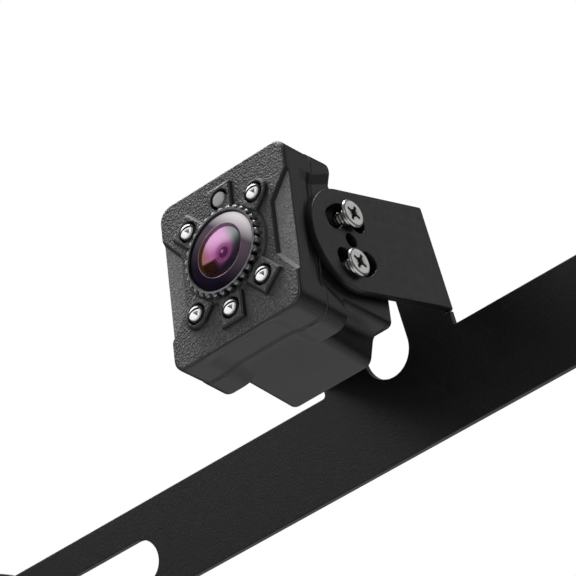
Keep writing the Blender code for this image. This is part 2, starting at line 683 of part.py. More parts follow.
def make_lamps(frame):
    centre = (0, 0, CENTRE_Z)
    outline = plus_outline(8.6 * MM, 8.6 * MM, 4.6 * MM, 11.4 * MM)
    plate = prism(outline, LAMP_BOARD_Y, LAMP_BOARD_Y + BOARD_THICK)
    board = finish("lamp_board", plate, board_green(), frame, centre)
    window = disc(6.3 * MM, LAMP_BOARD_Y - 1 * MM, LAMP_BOARD_Y + 2 * MM)
    cut(board, finish("lamp_board_window", window, board_green(), frame, centre))
    base = LAMP_BOARD_Y - GAP
    lamp = dome_profile(1.35 * MM, -13.0 * MM, 0.8 * MM, 3)
    lamp += [(1.35 * MM, base - 0.35 * MM), (0, base - 0.35 * MM)]
    for i, (x, z) in enumerate(lamp_places()):
        finish(f"led_{i + 1}", turned(lamp, 16), clear_glass(), frame, (x, 0, z + CENTRE_Z))
    eye = [(0, -12.95), (1.0, -12.95), (1.2, -12.8), (1.2, -10.2), (0, -10.2)]
    cell = turned([(r * MM, y * MM) for r, y in eye], 16)
    finish("light_sensor", cell, sensor_grey(), frame, (0, 0, LAMP_POLE + CENTRE_Z))


def make_cable_gland(frame):
    profile = [
        (1.5, 4.9), (3.9, 4.9), (3.9, 6.2), (2.75, 6.4), (2.75, 9.4), (4.1, 9.55), (4.1, 10.2), (3.5, 10.5),
        (3.2, 10.8), (2.9, 13.7), (2.6, 14.0), (1.5, 14.0),
    ]
    gland = turned([(r * MM, y * MM) for r, y in profile], 24)
    finish("cable_gland", gland, soft_rubber(), frame, (0, 0, CENTRE_Z))


def recess_blade(top, depth, arm, turn):
    """One arm pair of a driver recess: a flat blade that narrows into the screw head from top."""
    bm = bmesh.new()
    mouth = (top - 0.2 * MM, arm * 1.1, arm * 0.21)
    floor = (top + depth, arm * 0.35, arm * 0.12)
    rotation = Matrix.Rotation(turn, 3, "Y")
    loops = []
    for station, reach, half in (mouth, floor):
        corners = [(-reach, -half), (reach, -half), (reach, half), (-reach, half)]
        loops.append([bm.verts.new(rotation @ Vector((a, station, b))) for a, b in corners])
    near, far = loops
    bm.faces.new(near)
    bm.faces.new(far)
    for i in range(4):
        k = (i + 1) % 4
        bm.faces.new((near[i], near[k], far[k], far[i]))
    return bm


def make_case_screws(frame):
    head = POST_END_Y - 0.2 * MM
    seat = POST_END_Y - SCREW_SINK + 0.15 * MM
    profile = [
        (0, head), (0.75 * MM, head), (1.0 * MM, head - 0.25 * MM), (1.0 * MM, seat),
        (0.7 * MM, seat), (0.7 * MM, -8.6 * MM), (0, -8.6 * MM),
    ]
    names = ("lower_left", "upper_left", "lower_right", "upper_right")
    for name, (x, z) in zip(names, case_screw_places()):
        place = (x, 0, z + CENTRE_Z)
        screw = finish(f"case_screw_{name}", turned(profile, 12), black_steel(), frame, place)
        slot = box((0.3 * MM, 0.7 * MM, 1.4 * MM), (0, head, 0))
        cut(screw, finish(f"case_slot_{name}", slot, black_steel(), frame, place))


def make_tilt_screws(frame):
    """The four clamping screws through the curved slots, each in its brass insert."""
    seat = TAB_HALF_WIDTH + 0.15 * MM
    face = seat + 1.0 * MM
    profile = [
        (0, face), (SCREW_HEAD_RADIUS - 0.35 * MM, face), (SCREW_HEAD_RADIUS - 0.1 * MM, face - 0.12 * MM),
        (SCREW_HEAD_RADIUS, face - 0.35 * MM), (SCREW_HEAD_RADIUS - 0.1 * MM, face - 0.5 * MM),
        (SCREW_SHANK_RADIUS + 0.2 * MM, seat), (SCREW_SHANK_RADIUS, seat), (SCREW_SHANK_RADIUS, 9.6 * MM),
        (SCREW_SHANK_RADIUS - 0.3 * MM, 9.3 * MM), (0, 9.3 * MM),
    ]
    end = BORE_LIP_X / MM - 0.3
    insert = [(1.55, 9.0), (INSERT_RADIUS / MM, 9.0), (INSERT_RADIUS / MM, end), (1.55, end)]
    for side, side_name in ((1, "right"), (-1, "left")):
        for name, height in tilt_screw_places().items():
            bm = turned(profile, 24, axis="X")
            sleeve = turned([(r * MM, x * MM) for r, x in insert], 16, axis="X")
            if side < 0:
                for shape in (bm, sleeve):
                    bmesh.ops.rotate(shape, verts=shape.verts, matrix=Matrix.Rotation(math.pi, 3, "Z"))
            label = f"{side_name}_{name}"
            screw = finish(f"tilt_screw_{label}", bm, screw_metal(), frame, (0, 0, height))
            facing = Matrix.Rotation(side * math.pi / 2, 3, "Z")
            for k in (0, 1):
                tool = recess_blade(-face, 0.75 * MM, 1.4 * MM, math.radians(20) + k * math.pi / 2)
                bmesh.ops.rotate(tool, verts=tool.verts, matrix=facing)
                cut(screw, finish(f"cross_{label}_{k}", tool, screw_metal(), frame, (0, 0, height)))
            finish(f"threaded_insert_{label}", sleeve, brass(), frame, (0, 0, height))


def main():
    clear_scene()
    make_bracket()
    frame = camera_frame()
    make_front_housing(frame)
    make_rear_housing(frame)
    make_housing_seal(frame)
    make_lens(frame)
    make_imaging(frame)
    make_lamps(frame)
    make_cable_gland(frame)
    make_case_screws(frame)
    make_tilt_screws(frame)


main()
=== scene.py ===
"""The looks of a licence-plate backup camera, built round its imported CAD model.
"""

import json
import math

import bmesh
import bpy
from mathutils import Matrix, Vector


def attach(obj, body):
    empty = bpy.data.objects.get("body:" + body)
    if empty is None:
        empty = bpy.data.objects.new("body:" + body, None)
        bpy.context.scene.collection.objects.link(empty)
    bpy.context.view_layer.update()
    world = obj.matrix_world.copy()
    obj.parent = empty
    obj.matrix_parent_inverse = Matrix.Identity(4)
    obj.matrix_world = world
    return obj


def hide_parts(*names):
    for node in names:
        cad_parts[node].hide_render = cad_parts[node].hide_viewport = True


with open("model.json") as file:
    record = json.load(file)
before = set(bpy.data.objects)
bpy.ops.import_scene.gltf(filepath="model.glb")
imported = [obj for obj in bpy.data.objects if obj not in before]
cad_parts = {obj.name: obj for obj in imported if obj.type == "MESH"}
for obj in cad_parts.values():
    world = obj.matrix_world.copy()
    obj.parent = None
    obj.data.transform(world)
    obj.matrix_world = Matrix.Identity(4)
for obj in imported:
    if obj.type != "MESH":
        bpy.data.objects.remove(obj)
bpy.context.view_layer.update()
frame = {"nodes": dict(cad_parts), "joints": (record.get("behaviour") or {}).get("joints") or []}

MM = 0.001
JOINTS = {joint["name"]: joint for joint in frame["joints"]}
PIVOT = Vector(JOINTS["camera_tilt"]["pos_m"])
LENS_AXIS = Vector(JOINTS["lens_focus"]["axis"])  # points out of the lens
REST_TILT = math.atan2(LENS_AXIS.z, -LENS_AXIS.y)
WHOLE_SPACE = Matrix.Identity(4)
CAMERA_SPACE = Matrix.Translation(PIVOT) @ Matrix.Rotation(-REST_TILT, 4, "X")

# Bracket, in the whole object's space
SHEET = 1.2
BAR_TOP = 7.6
EYE = (88.9, -1.2)
EYE_RADIUS = 11.3
SLOT_INNER_X = 55.8
SLOT_OUTER_X = 90.4
SLOT_RADIUS = 3.5
TAB_HALF_WIDTH = 13.6  # to the outside of the ears
BEND_RADIUS = 1.3
EAR_LIFT = 2.45
EAR_RADIUS = 8.5
FOOT_HALF_WIDTH = 13.0  # the tab below its ears
FOOT_FILLET = 0.6
SLIT = 0.2  # between the foot and each ear, so that the sheet can bend
SLIT_REACH = 0.3  # how far the slit runs in from where the bend starts
CABLE_HOLE_RADIUS = 4.4
CABLE_HOLE_LOW = 1.85
CABLE_HOLE_HIGH = 11.5
PIVOT_HOLE_RADIUS = 1.15
ARC_RADIUS = 4.28
ARC_HALF_WIDTH = 1.68
ARC_HALF_SWEEP = math.radians(41)
SHEET_EDGE = 0.14  # how far the sheet's cut edges are rounded over

# Camera housing, in the lens's space
CENTRE_Z = -0.45  # the lens axis, from the tilt axis
BODY_X = 12.65
BODY_Z = 14.5
BODY_CORNER = 2.2
FRONT_Y = -12.05
SEAM_Y = -6.2
SEAM_HALF = 0.05
POST_END_Y = -1.8
REAR_Y = 8.45
REAR_WALL_Y = 6.7
CHANNEL = 0.5
CHANNEL_X = 5.3
CREST_X = 7.6
SIDE_X = 12.1
RECESS_Z = 8.4
RECESS_Y = -8.9
RECESS_STEP_Y = -7.3
RECESS_STEP = 0.25
RECESS_GROOVE = 0.8
RECESS_GROOVE_WIDTH = 0.5
RECESS_RAMP = 1.7
POST_RECESS_Z = 10.4
CORE_TOP = 14.0
CORE_RISE = 1.1
SHOULDER_Z = 10.25
CORE_TOP_X = 7.8
CORE_FOOT = (9.0, 0.4)  # where the core's top meets its shoulder: X, and the height above SHOULDER_Z
REAR_PAD = 0.8
FLARE = 0.3
CHANNEL_CORNER = 1.0
CREST_CORNER = 0.9
CORE_CORNER = 1.1
CRISP_CORNER = 0.1
CAVITY = (10.2, 8.9, 6.4, 12.0)  # half sizes of the two crossed rectangles
CAVITY_FRONT_Y = -9.7
CUT_START_Y = -8.0  # in front of the rear shell
INSERT_BORE = 2.15
BORE_END_X = 8.0
BORE_LIP_X = 11.4
BORE_LIP_RADIUS = 1.6
BEYOND_X = 14.0  # outside the housing, where the screws' bores start
GLAND_BORE = 3.0

# Front face
COLLAR_TOP_Y = -12.5
COLLAR_RADIUS = 7.9
BORE_RADIUS = 6.0
BOSS_TOP_Y = -12.85
BOSS_HALF_WIDTH = 2.3
BOSS_REACH = 2.5
WELL_RADIUS = 1.65
WELL_FLOOR_Y = -10.0
PANEL_DEPTH = 0.7
PANEL_INNER = (9.5, 4.45)  # the panel's corners in X and Z, short inside and long at the housing's edge
PANEL_OUTER = (13.5, 9.6)
PANEL_GROWTH = (0.343, 1.63)  # how much Z gains at each corner when the panel's border moves out by 1
SHOULDER = 0.36  # how far the raised and lowered parts of the face are rounded over
LAMP_X = 6.66
LAMP_Z = 7.24
LAMP_POLE = 9.56

# Lamps, each round its own centre
LAMP_RIM_Y = -13.0
LAMP_BACK_Y = -10.3
LAMP_DOME_RADIUS = 1.35
LAMP_DOME_SAG = 0.8
LAMP_CAP_Y = -13.18
LAMP_CAP_RADIUS = 1.1
LAMP_CAP_SAG = 0.5
LAMP_CAP_BACK_Y = LAMP_RIM_Y + 0.12
LAMP_BASE_RADIUS = 1.28
LAMP_BASE_Y = LAMP_RIM_Y + 0.13
LAMP_BASE_BACK_Y = -10.6
LAMP_GAP = 0.36
LAMP_GAP_Z = 0.14
LAMP_GAP_TURN = -16
LAMP_GAP_FLOOR_Y = LAMP_RIM_Y - 0.12
LAMP_PIT = ((0.1, -0.22), (0.86, -0.1), (0.66, -0.8))  # a triangle in X and Z
LAMP_PIT_FLOOR_Y = LAMP_CAP_Y - 0.05
SENSOR_RADIUS = 1.2
SENSOR_BACK_Y = -10.2

# Lens
RING_RADIUS = 7.25
RING_BORE = 5.85
RING_TEETH = 30
RING_TOP_Y = -13.75
# Beyond this radius the teeth are lighter: partly wear, partly painted highlights.
RING_WEAR_AND_SHEEN_FROM = 6.86
TOOTH_DEPTH = 0.5
TOOTH_POWER = 1.6  # above 1 the grooves are narrower than the teeth
GLASS_RADIUS = 6.2
GLASS_RIM_Y = -13.45
GLASS_BACK_Y = -13.1
INNER_RADIUS = 4.25
INNER_RIM_Y = -13.85
INNER_BACK_Y = -12.8
COVER_SAG = 0.75
COVER_THICKNESS = 0.1
BOWL_RADIUS = 3.95
BOWL_RIM = 0.35  # how far the bowl's edge lies below the rim
BOWL_DEPTH = 0.5
# Rings on the bowl that stand for painted reflections of the inner elements' rims.
PUPIL_RINGS = (("outer", 1.45, 0.045), ("inner", 1.05, 0.03))  # name, radius, half thickness
LENS_IOR = 1.03  # nearly no real reflection: the coating's reflections are painted in as base colours instead

# Screws
SCREW_HEAD_RADIUS = 2.3
SCREW_HEAD_HEIGHT = 1.0
SCREW_HEAD_GAP = 0.15  # between the head and its ear
SCREW_SHANK_RADIUS = 1.3
SCREW_TIP = 9.3  # how far the tip is from the middle of the camera
CASE_SCREW_X = 10.5
CASE_SCREW_Z = 12.65
CASE_SHANK_RADIUS = 0.7
CASE_HEAD_RADIUS = 1.0
SINK_RADIUS = 1.25
SCREW_SINK = 1.25

# Studio: the camera's lens and film in mm, its angles in degrees, everything else in metres
FOCAL_LENGTH = 246.915
FILM_WIDTH = 36
VIEW_PLACE = (0.308485, -0.472071, -0.191619)
VIEW_TURN = (111.8155, 15.9184, 40.6423)
FLOOR_HALF_WIDTH = 4.0
FLOOR_Z = -0.6

# The space that most pieces are made in
LENS_SPACE = CAMERA_SPACE @ Matrix.Translation((0, 0, CENTRE_Z * MM))


# ------------ shapes


def arc(centre, radius, start, end, steps):
    """Points on an arc, from one angle to another, both ends included."""
    turn = (end - start) / steps
    return [
        (centre[0] + radius * math.cos(start + turn * i), centre[1] + radius * math.sin(start + turn * i))
        for i in range(steps + 1)
    ]


def prism(outline, low, high):
    """A closed prism: an outline in X and Z, pushed along Y."""
    bm = bmesh.new()
    base = bm.faces.new([bm.verts.new((x, low, z)) for x, z in outline])
    grown = bmesh.ops.extrude_face_region(bm, geom=[base], use_keep_orig=True)
    moved = [item for item in grown["geom"] if isinstance(item, bmesh.types.BMVert)]
    bmesh.ops.translate(bm, verts=moved, vec=(0, high - low, 0))
    return bm


def turned(profile, steps=96, axis="Y"):
    """A solid of revolution from (radius, station) points; it closes itself at the axis or as a ring."""
    bm = bmesh.new()
    verts = [bm.verts.new((radius, station, 0)) for radius, station in profile]
    on_axis = profile[0][0] == 0 and profile[-1][0] == 0
    pairs = list(zip(verts, verts[1:])) + ([] if on_axis else [(verts[-1], verts[0])])
    edges = [bm.edges.new(pair) for pair in pairs]
    bmesh.ops.spin(
        bm, geom=verts + edges, cent=(0, 0, 0), axis=(0, 1, 0), dvec=(0, 0, 0),
        angle=2 * math.pi, steps=steps, use_merge=True,
    )
    bmesh.ops.remove_doubles(bm, verts=bm.verts, dist=1e-4)
    return spun(bm, -math.pi / 2, "Z") if axis == "X" else bm


def disc(radius, low, high, steps=48, axis="Y"):
    return turned([(0, low), (radius, low), (radius, high), (0, high)], steps, axis)


def box(size, centre):
    bm = bmesh.new()
    bmesh.ops.create_cube(bm, size=1, matrix=Matrix.Translation(centre) @ Matrix.Diagonal((*size, 1)))
    return bm


def softened(corners, steps=6):
    """The closed outline with each (x, z, reach) corner turned into an arc that starts reach before it."""
    points = []
    for i, (x, z, reach) in enumerate(corners):
        corner = Vector((x, z))
        before = Vector(corners[i - 1][:2]) - corner
        after = Vector(corners[(i + 1) % len(corners)][:2]) - corner
        start = corner + before.normalized() * reach
        end = corner + after.normalized() * reach
        weight = math.sin(before.angle(after) / 2)
        for k in range(steps + 1):
            t = k / steps
            parts = ((1 - t) ** 2, 2 * t * (1 - t) * weight, t**2)
            point = (start * parts[0] + corner * parts[1] + end * parts[2]) / sum(parts)
            points.append((point.x, point.y))
    return points


def mirrored(quarter):
    """A whole outline from the corners of its upper right quarter, from the top round to the side."""
    right = quarter + [(x, -z, *reach) for x, z, *reach in reversed(quarter)]
    return right + [(-x, z, *reach) for x, z, *reach in reversed(right)]


def loft(sections):
    """A closed skin through (station, outline) sections, pushed along Y."""
    bm = bmesh.new()
    loops = [[bm.verts.new((x, station, z)) for x, z in outline] for station, outline in sections]
    for near, far in zip(loops, loops[1:]):
        for i in range(len(near)):
            k = (i + 1) % len(near)
            bm.faces.new((near[i], near[k], far[k]))
            bm.faces.new((near[i], far[k], far[i]))
    bm.faces.new(loops[0])
    bm.faces.new(loops[-1])
    return bm


def shifted(bm, x=0.0, y=0.0, z=0.0):
    bmesh.ops.translate(bm, verts=bm.verts, vec=(x, y, z))
    return bm


def spun(bm, angle, axis):
    bmesh.ops.rotate(bm, verts=bm.verts, matrix=Matrix.Rotation(angle, 3, axis))
    return bm


def dome(radius, rim, sag, steps):
    """(radius, station) points of a spherical cap, from the apex to the rim; a negative sag makes a bowl."""
    curve = (radius**2 + sag**2) / (2 * sag)
    reach = math.asin(radius / curve)
    centre = rim - sag + curve
    return [
        (curve * math.sin(reach * i / steps), centre - curve * math.cos(reach * i / steps))
        for i in range(steps + 1)
    ]


def domed(radius, rim, sag, steps, back):
    """(radius, station) points of a post that ends in a dome in front and flat at back."""
    return dome(radius, rim, sag, steps) + [(radius, back), (0, back)]


def put(name, data):
    """A new object in the scene."""
    made = bpy.data.objects.new(name, data)
    bpy.context.scene.collection.objects.link(made)
    return made


def draft(name, bm):
    """A working object, still in millimetres."""
    bmesh.ops.recalc_face_normals(bm, faces=bm.faces)
    mesh = bpy.data.meshes.new(name)
    bm.to_mesh(mesh)
    bm.free()
    return put(name, mesh)


def settle(piece):
    """Apply the piece's modifiers."""
    bpy.context.view_layer.update()
    solved = piece.evaluated_get(bpy.context.evaluated_depsgraph_get())
    mesh = bpy.data.meshes.new_from_object(solved)
    piece.modifiers.clear()
    piece.data = mesh


def combine(target, tools, operation="DIFFERENCE", solver="EXACT"):
    """Boolean each tool into the target, and remove the tools."""
    for tool in tools:
        step = target.modifiers.new(tool.name, "BOOLEAN")
        step.operation = operation
        step.object = tool
        step.solver = solver
    settle(target)
    for tool in tools:
        bpy.data.objects.remove(tool, do_unlink=True)


def moulded(piece, voxel, passes, keep):
    """Give every edge the small radius of a moulding: remesh finely, smooth, and thin out what lies flat."""
    remesh = piece.modifiers.new("fine_skin", "REMESH")
    remesh.mode = "VOXEL"
    remesh.voxel_size = voxel * 1
    smooth = piece.modifiers.new("edge_radius", "SMOOTH")
    smooth.factor = 0.5
    smooth.iterations = passes
    thin = piece.modifiers.new("thin_out", "DECIMATE")
    thin.ratio = keep
    settle(piece)


def beside(x, z):
    """The lens's space moved to x, z."""
    return LENS_SPACE @ Matrix.Translation((x * MM, 0, z * MM))


def finish(piece, material, body, replaced=(), space=LENS_SPACE, sharp=35):
    """Metres, the whole object's frame, shading, a material and the body that the piece rides on."""
    piece.data.transform(Matrix.Scale(MM, 4))
    piece.matrix_world = space
    piece.data.shade_smooth()
    if sharp:
        piece.data.set_sharp_from_angle(angle=math.radians(sharp))
    piece.data.materials.clear()
    piece.data.materials.append(material)
    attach(piece, body)
    if replaced:
        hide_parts(*replaced)


# ------------ materials


class Look:
    """A Principled material under construction, with the few nodes that most of these materials share."""

    def __init__(self, name, colour, roughness, **sockets):
        self.material = bpy.data.materials.new(name)
        self.material.use_nodes = True
        self.tree = self.material.node_tree
        self.shader = self.tree.nodes["Principled BSDF"]
        self.shader.inputs["Base Color"].default_value = (*colour, 1)
        self.shader.inputs["Roughness"].default_value = roughness
        for socket, value in sockets.items():
            self.shader.inputs[socket.replace("_", " ")].default_value = value
        self.place = self.node("ShaderNodeTexCoord").outputs["Object"]

    def node(self, kind, **settings):
        made = self.tree.nodes.new(kind)
        for name, value in settings.items():
            setattr(made, name, value)
        return made

    def link(self, source, target):
        self.tree.links.new(source, target)

    def split(self, vector):
        """The X, Y and Z of a vector socket."""
        made = self.node("ShaderNodeSeparateXYZ")
        self.link(vector, made.inputs[0])
        return made.outputs

    def noise(self, size_mm, detail=4.0, roughness=0.5):
        """Noise whose features are about size_mm across."""
        made = self.node("ShaderNodeTexNoise")
        made.inputs["Scale"].default_value = 1 / (size_mm * MM)
        made.inputs["Detail"].default_value = detail
        made.inputs["Roughness"].default_value = roughness
        self.link(self.place, made.inputs["Vector"])
        return made.outputs["Fac"]

    def cells(self, size_mm, feature="F1", smoothness=0.6):
        made = self.node("ShaderNodeTexVoronoi", feature=feature)
        made.inputs["Scale"].default_value = 1 / (size_mm * MM)
        if feature == "SMOOTH_F1":
            made.inputs["Smoothness"].default_value = smoothness
        self.link(self.place, made.inputs["Vector"])
        return made.outputs["Distance"]

    def rise(self, value, start, end):
        """0 up to start, 1 from end on, and an easy climb between them."""
        return self.spread(value, 0, 1, start, end, smooth=True)

    def fall(self, value, start, end):
        """1 up to start, 0 from end on, and an easy descent between them."""
        return self.spread(value, 1, 0, start, end, smooth=True)

    def spread(self, value, low, high, start=0.0, end=1.0, smooth=False):
        """value from start..end stretched to low..high and held inside it."""
        made = self.node("ShaderNodeMapRange", interpolation_type="SMOOTHSTEP" if smooth else "LINEAR")
        self.link(value, made.inputs["Value"])
        for name, number in (("From Min", start), ("From Max", end), ("To Min", low), ("To Max", high)):
            made.inputs[name].default_value = number
        return made.outputs["Result"]

    def maths(self, operation, *values):
        made = self.node("ShaderNodeMath", operation=operation)
        for i, value in enumerate(values):
            if isinstance(value, (int, float)):
                made.inputs[i].default_value = value
            else:
                self.link(value, made.inputs[i])
        return made.outputs[0]

    def plus(self, first, second):
        return self.maths("ADD", first, second)

    def times(self, first, second):
        return self.maths("MULTIPLY", first, second)

    def blend(self, share, first, second):
        """Colour from first to second as share goes from 0 to 1; each is a colour or a socket."""
        made = self.node("ShaderNodeMix", data_type="RGBA")
        self.link(share, made.inputs[0])
        for socket, value in ((made.inputs[6], first), (made.inputs[7], second)):
            if isinstance(value, tuple):
                socket.default_value = (*value, 1)
            else:
                self.link(value, socket)
        return made.outputs[2]

    def colour(self, socket):
        self.link(socket, self.shader.inputs["Base Color"])

    def roughness(self, socket):
        self.link(socket, self.shader.inputs["Roughness"])

    def bump(self, height, depth_mm, strength=1.0, after=None):
        made = self.node("ShaderNodeBump")
        made.inputs["Strength"].default_value = strength
        made.inputs["Distance"].default_value = depth_mm * MM
        self.link(height, made.inputs["Height"])
        if after:
            self.link(after, made.inputs["Normal"])
        return made.outputs["Normal"]

    def normal(self, socket):
        self.link(socket, self.shader.inputs["Normal"])


def housing_plastic():
    """Black moulded plastic: leather grain where it faces forwards, smooth satin on its sides. Its base
    colour is painted light and shade: lighter where it faces forwards, lighter still in the side panels, near
    black on its other walls.
    """
    look = Look("housing_plastic", (0.022, 0.022, 0.023), 0.45)
    normal = look.split(look.tree.nodes["Texture Coordinate"].outputs["Normal"])
    ahead = look.times(normal["Y"], -1.0)
    forward = look.rise(ahead, 0.62, 0.92)
    flat = look.rise(ahead, 0.86, 0.97)
    cells = look.cells(0.38, "SMOOTH_F1", 0.3)
    creases = look.noise(0.4, 3.0, 0.6)
    grain = look.plus(look.times(cells, 0.9), look.times(creases, 0.9))
    sand = look.noise(0.24, 2.0, 0.6)
    grain = look.plus(grain, look.times(sand, 0.5))
    grain = look.times(grain, flat)
    fine = look.bump(look.noise(0.08, 2.0), 0.004, 0.5)
    look.normal(look.bump(grain, 0.7, 1.0, after=fine))
    worn = look.rise(look.noise(6.0, 3.0), 0.35, 0.75)
    # Painted light: a lighter base colour where the shell faces forwards.
    lit_face_tone = look.blend(worn, (0.044, 0.044, 0.0445), (0.06, 0.06, 0.0605))
    depth = look.split(look.place)["Y"]
    # Painted light: lighter again in the lowered side panels.
    panel = look.spread(depth, 0, 1, (FRONT_Y + PANEL_DEPTH / 2) * MM, (FRONT_Y + 0.6) * MM)
    lit_face_tone = look.blend(panel, lit_face_tone, (0.125, 0.125, 0.126))
    # Painted shade: near black on the walls that face other ways.
    smooth = look.blend(worn, (0.004, 0.004, 0.0042), (0.008, 0.008, 0.0083))
    look.colour(look.blend(forward, smooth, lit_face_tone))
    patchy = look.spread(look.noise(3.0, 4.0), 0.42, 0.48)
    look.roughness(look.plus(patchy, look.times(forward, -0.08)))
    return look.material


def powder_coat():
    """Black powder coat: a fine orange peel, with a few bright specks painted in as highlights of its
    sparkle.
    """
    look = Look("black_powder_coat", (0.016, 0.016, 0.017), 0.42)
    peel = look.noise(0.42, 3.0, 0.55)
    sand = look.noise(0.13, 2.0, 0.6)
    height = look.plus(peel, look.times(sand, 0.6))
    look.normal(look.bump(height, 0.035, 0.7))
    # Painted highlights: small bright spots that stand for the coat's sparkle.
    sparkle_glints = look.fall(look.cells(0.33), 0.03, 0.13)
    tone = look.blend(look.noise(4.0, 3.0), (0.0025, 0.0025, 0.0026), (0.0042, 0.0042, 0.0043))
    look.colour(look.blend(look.times(sparkle_glints, 0.35), tone, (0.2, 0.2, 0.2)))
    look.roughness(look.spread(look.noise(1.2, 3.0), 0.36, 0.5))
    return look.material


def zinc():
    """Bright zinc plate, a little brushed and stained."""
    look = Look("zinc_plated", (0.72, 0.71, 0.68), 0.28, Metallic=1.0)
    stain = look.noise(0.9, 4.0, 0.6)
    look.colour(look.blend(stain, (0.5, 0.49, 0.47), (0.86, 0.85, 0.83)))
    look.roughness(look.spread(look.noise(0.25, 3.0), 0.2, 0.42))
    look.normal(look.bump(look.noise(0.18, 3.0), 0.01, 0.5))
    return look.material


def black_anodised(name="lens_black", wear_and_sheen_from=None):
    """The focus ring and the barrel: dark turned metal with fine tool marks, brighter beyond the given radius
    in mm, partly as wear and partly as painted highlights on the teeth.
    """
    look = Look(name, (0.1, 0.1, 0.1), 0.3, Metallic=1.0 if wear_and_sheen_from else 0.6)
    body = look.blend(look.noise(0.6, 3.0), (0.02, 0.02, 0.0205), (0.06, 0.06, 0.061))
    if wear_and_sheen_from:
        # Partly wear and partly painted highlight: lighter metal at the teeth's tips.
        tip_wear_and_sheen = look.blend(look.noise(0.35, 3.0), (0.2, 0.2, 0.202), (0.6, 0.6, 0.605))
        distance, _, _ = radial(look)
        body = look.blend(look.rise(distance, wear_and_sheen_from, wear_and_sheen_from + 0.2), body, tip_wear_and_sheen)
    look.colour(body)
    look.roughness(look.spread(look.noise(0.3, 3.0), 0.25, 0.42))
    look.normal(look.bump(look.noise(0.12, 3.0), 0.008, 0.4))
    return look.material


def plain(name, dark, light, roughness, size_mm, depth_mm=0.01, **sockets):
    """A simple solid material whose tone, gloss and surface still vary a little."""
    look = Look(name, dark, roughness, **sockets)
    look.colour(look.blend(look.noise(size_mm * 4), dark, light))
    look.roughness(look.spread(look.noise(size_mm * 2), roughness * 0.85, min(roughness * 1.15, 1)))
    look.normal(look.bump(look.noise(size_mm), depth_mm, 0.5))
    return look.material


def circuit_board():
    """Green solder mask with faint copper tracks under it."""
    look = Look("circuit_board", (0.01, 0.12, 0.05), 0.35)
    tracks = look.node("ShaderNodeTexBrick")
    look.link(look.place, tracks.inputs["Vector"])
    tracks.inputs["Scale"].default_value = 500
    look.colour(look.blend(tracks.outputs["Fac"], (0.01, 0.11, 0.045), (0.02, 0.2, 0.09)))
    look.normal(look.bump(tracks.outputs["Fac"], 0.03, 0.5))
    return look.material


def clear_glass():
    look = Look("clear_glass", (1, 1, 1), 0.02, Transmission_Weight=1.0, IOR=1.5)
    look.roughness(look.spread(look.noise(2.0), 0.02, 0.03))
    return look.material


def radial(look, x0=0.0, z0=0.0):
    """Sockets for the distance, the x and the z in mm from the point x0, z0 of the piece's own space."""
    place = look.split(look.place)
    x = look.plus(look.times(place["X"], 1 / MM), -x0)
    z = look.plus(look.times(place["Z"], 1 / MM), -z0)
    squared = look.plus(look.times(x, x), look.times(z, z))
    return look.maths("SQRT", squared), x, z


def along(look, x, z, heading):
    """Signed distance in mm along a heading in the lens's plane, in degrees from +X towards +Z."""
    turn = math.radians(heading)
    across = look.times(x, math.cos(turn))
    up = look.times(z, math.sin(turn))
    return look.plus(across, up)


def element_painted_reflections():
    """The inner lens, painted: the coating's reflections as base colours, pink above their horizon, dark
    violet below, green at one side and amber at the other, with a painted glow, a painted glint and a painted
    dark pupil in the middle.
    """
    look = Look("coated_glass", (0.2, 0.05, 0.2), 0.1, IOR=LENS_IOR)
    distance, x, z = radial(look)
    # Painted reflections: each zone below is a base colour that stands for a reflection in the coating.
    pink = look.blend(look.rise(along(look, x, z, 84), 0.0, 3.0), (0.36, 0.1, 0.27), (0.66, 0.37, 0.6))
    warm = look.spread(along(look, x, z, 190), 0, 0.8, 1.8, 3.4, smooth=True)
    pink = look.blend(warm, pink, (0.27, 0.12, 0.09))
    side = look.rise(along(look, x, z, 8), 0.6, 3.0)
    green = look.blend(look.rise(z, -0.6, 2.2), (0.035, 0.06, 0.025), (0.22, 0.28, 0.26))
    upper = look.blend(side, pink, green)
    ember = look.blend(look.spread(z, 0, 1, -3.4, -0.4), (0.008, 0.0012, 0.001), (0.018, 0.005, 0.0015))
    violet = look.blend(look.spread(z, 0, 1, -2.6, 0.0), (0.005, 0.0015, 0.007), (0.016, 0.01, 0.022))
    lower = look.blend(look.rise(x, -2.2, 0.6), ember, violet)
    horizon = look.rise(along(look, x, z, 96), -0.35, 0.2)
    soft_horizon = look.rise(along(look, x, z, 118), -2.1, 1.2)
    left = look.fall(x, -1.6, -0.2)
    right = look.maths("SUBTRACT", 1.0, left)
    crisp_share = look.times(horizon, left)
    soft_share = look.times(soft_horizon, right)
    shade = look.blend(look.plus(crisp_share, soft_share), lower, upper)
    # Painted reflection: a pink glow round the middle.
    glow = look.times(look.fall(distance, 0.9, 2.3), 0.75)
    shade = look.blend(glow, shade, (0.16, 0.025, 0.12))
    # Painted shade: the dark pupil in the middle.
    pupil = look.times(look.fall(distance, 0.75, 1.15), 0.85)
    shade = look.blend(pupil, shade, (0.045, 0.006, 0.03))
    # Painted highlight: a small pink glint near the middle.
    from_glint, _, _ = radial(look, -0.3, 0.38)
    glint = look.spread(from_glint, 0.75, 0, 0.1, 0.4, smooth=True)
    shade = look.blend(glint, shade, (0.42, 0.17, 0.33))
    # The bowl's edge: amber on the left, pink on the right, darker towards the lower right; painted
    # reflection and painted shade.
    edge = look.rise(distance, BOWL_RADIUS - 0.12, BOWL_RADIUS)
    wall = look.blend(look.spread(x, 0, 1, -3.6, 0.0), (0.05, 0.025, 0.005), (0.14, 0.07, 0.13))
    wall = look.blend(look.spread(along(look, x, z, 118), 1, 0, -1.5, 2.0), wall, (0.006, 0.002, 0.006))
    look.colour(look.blend(edge, shade, wall))
    return look.material


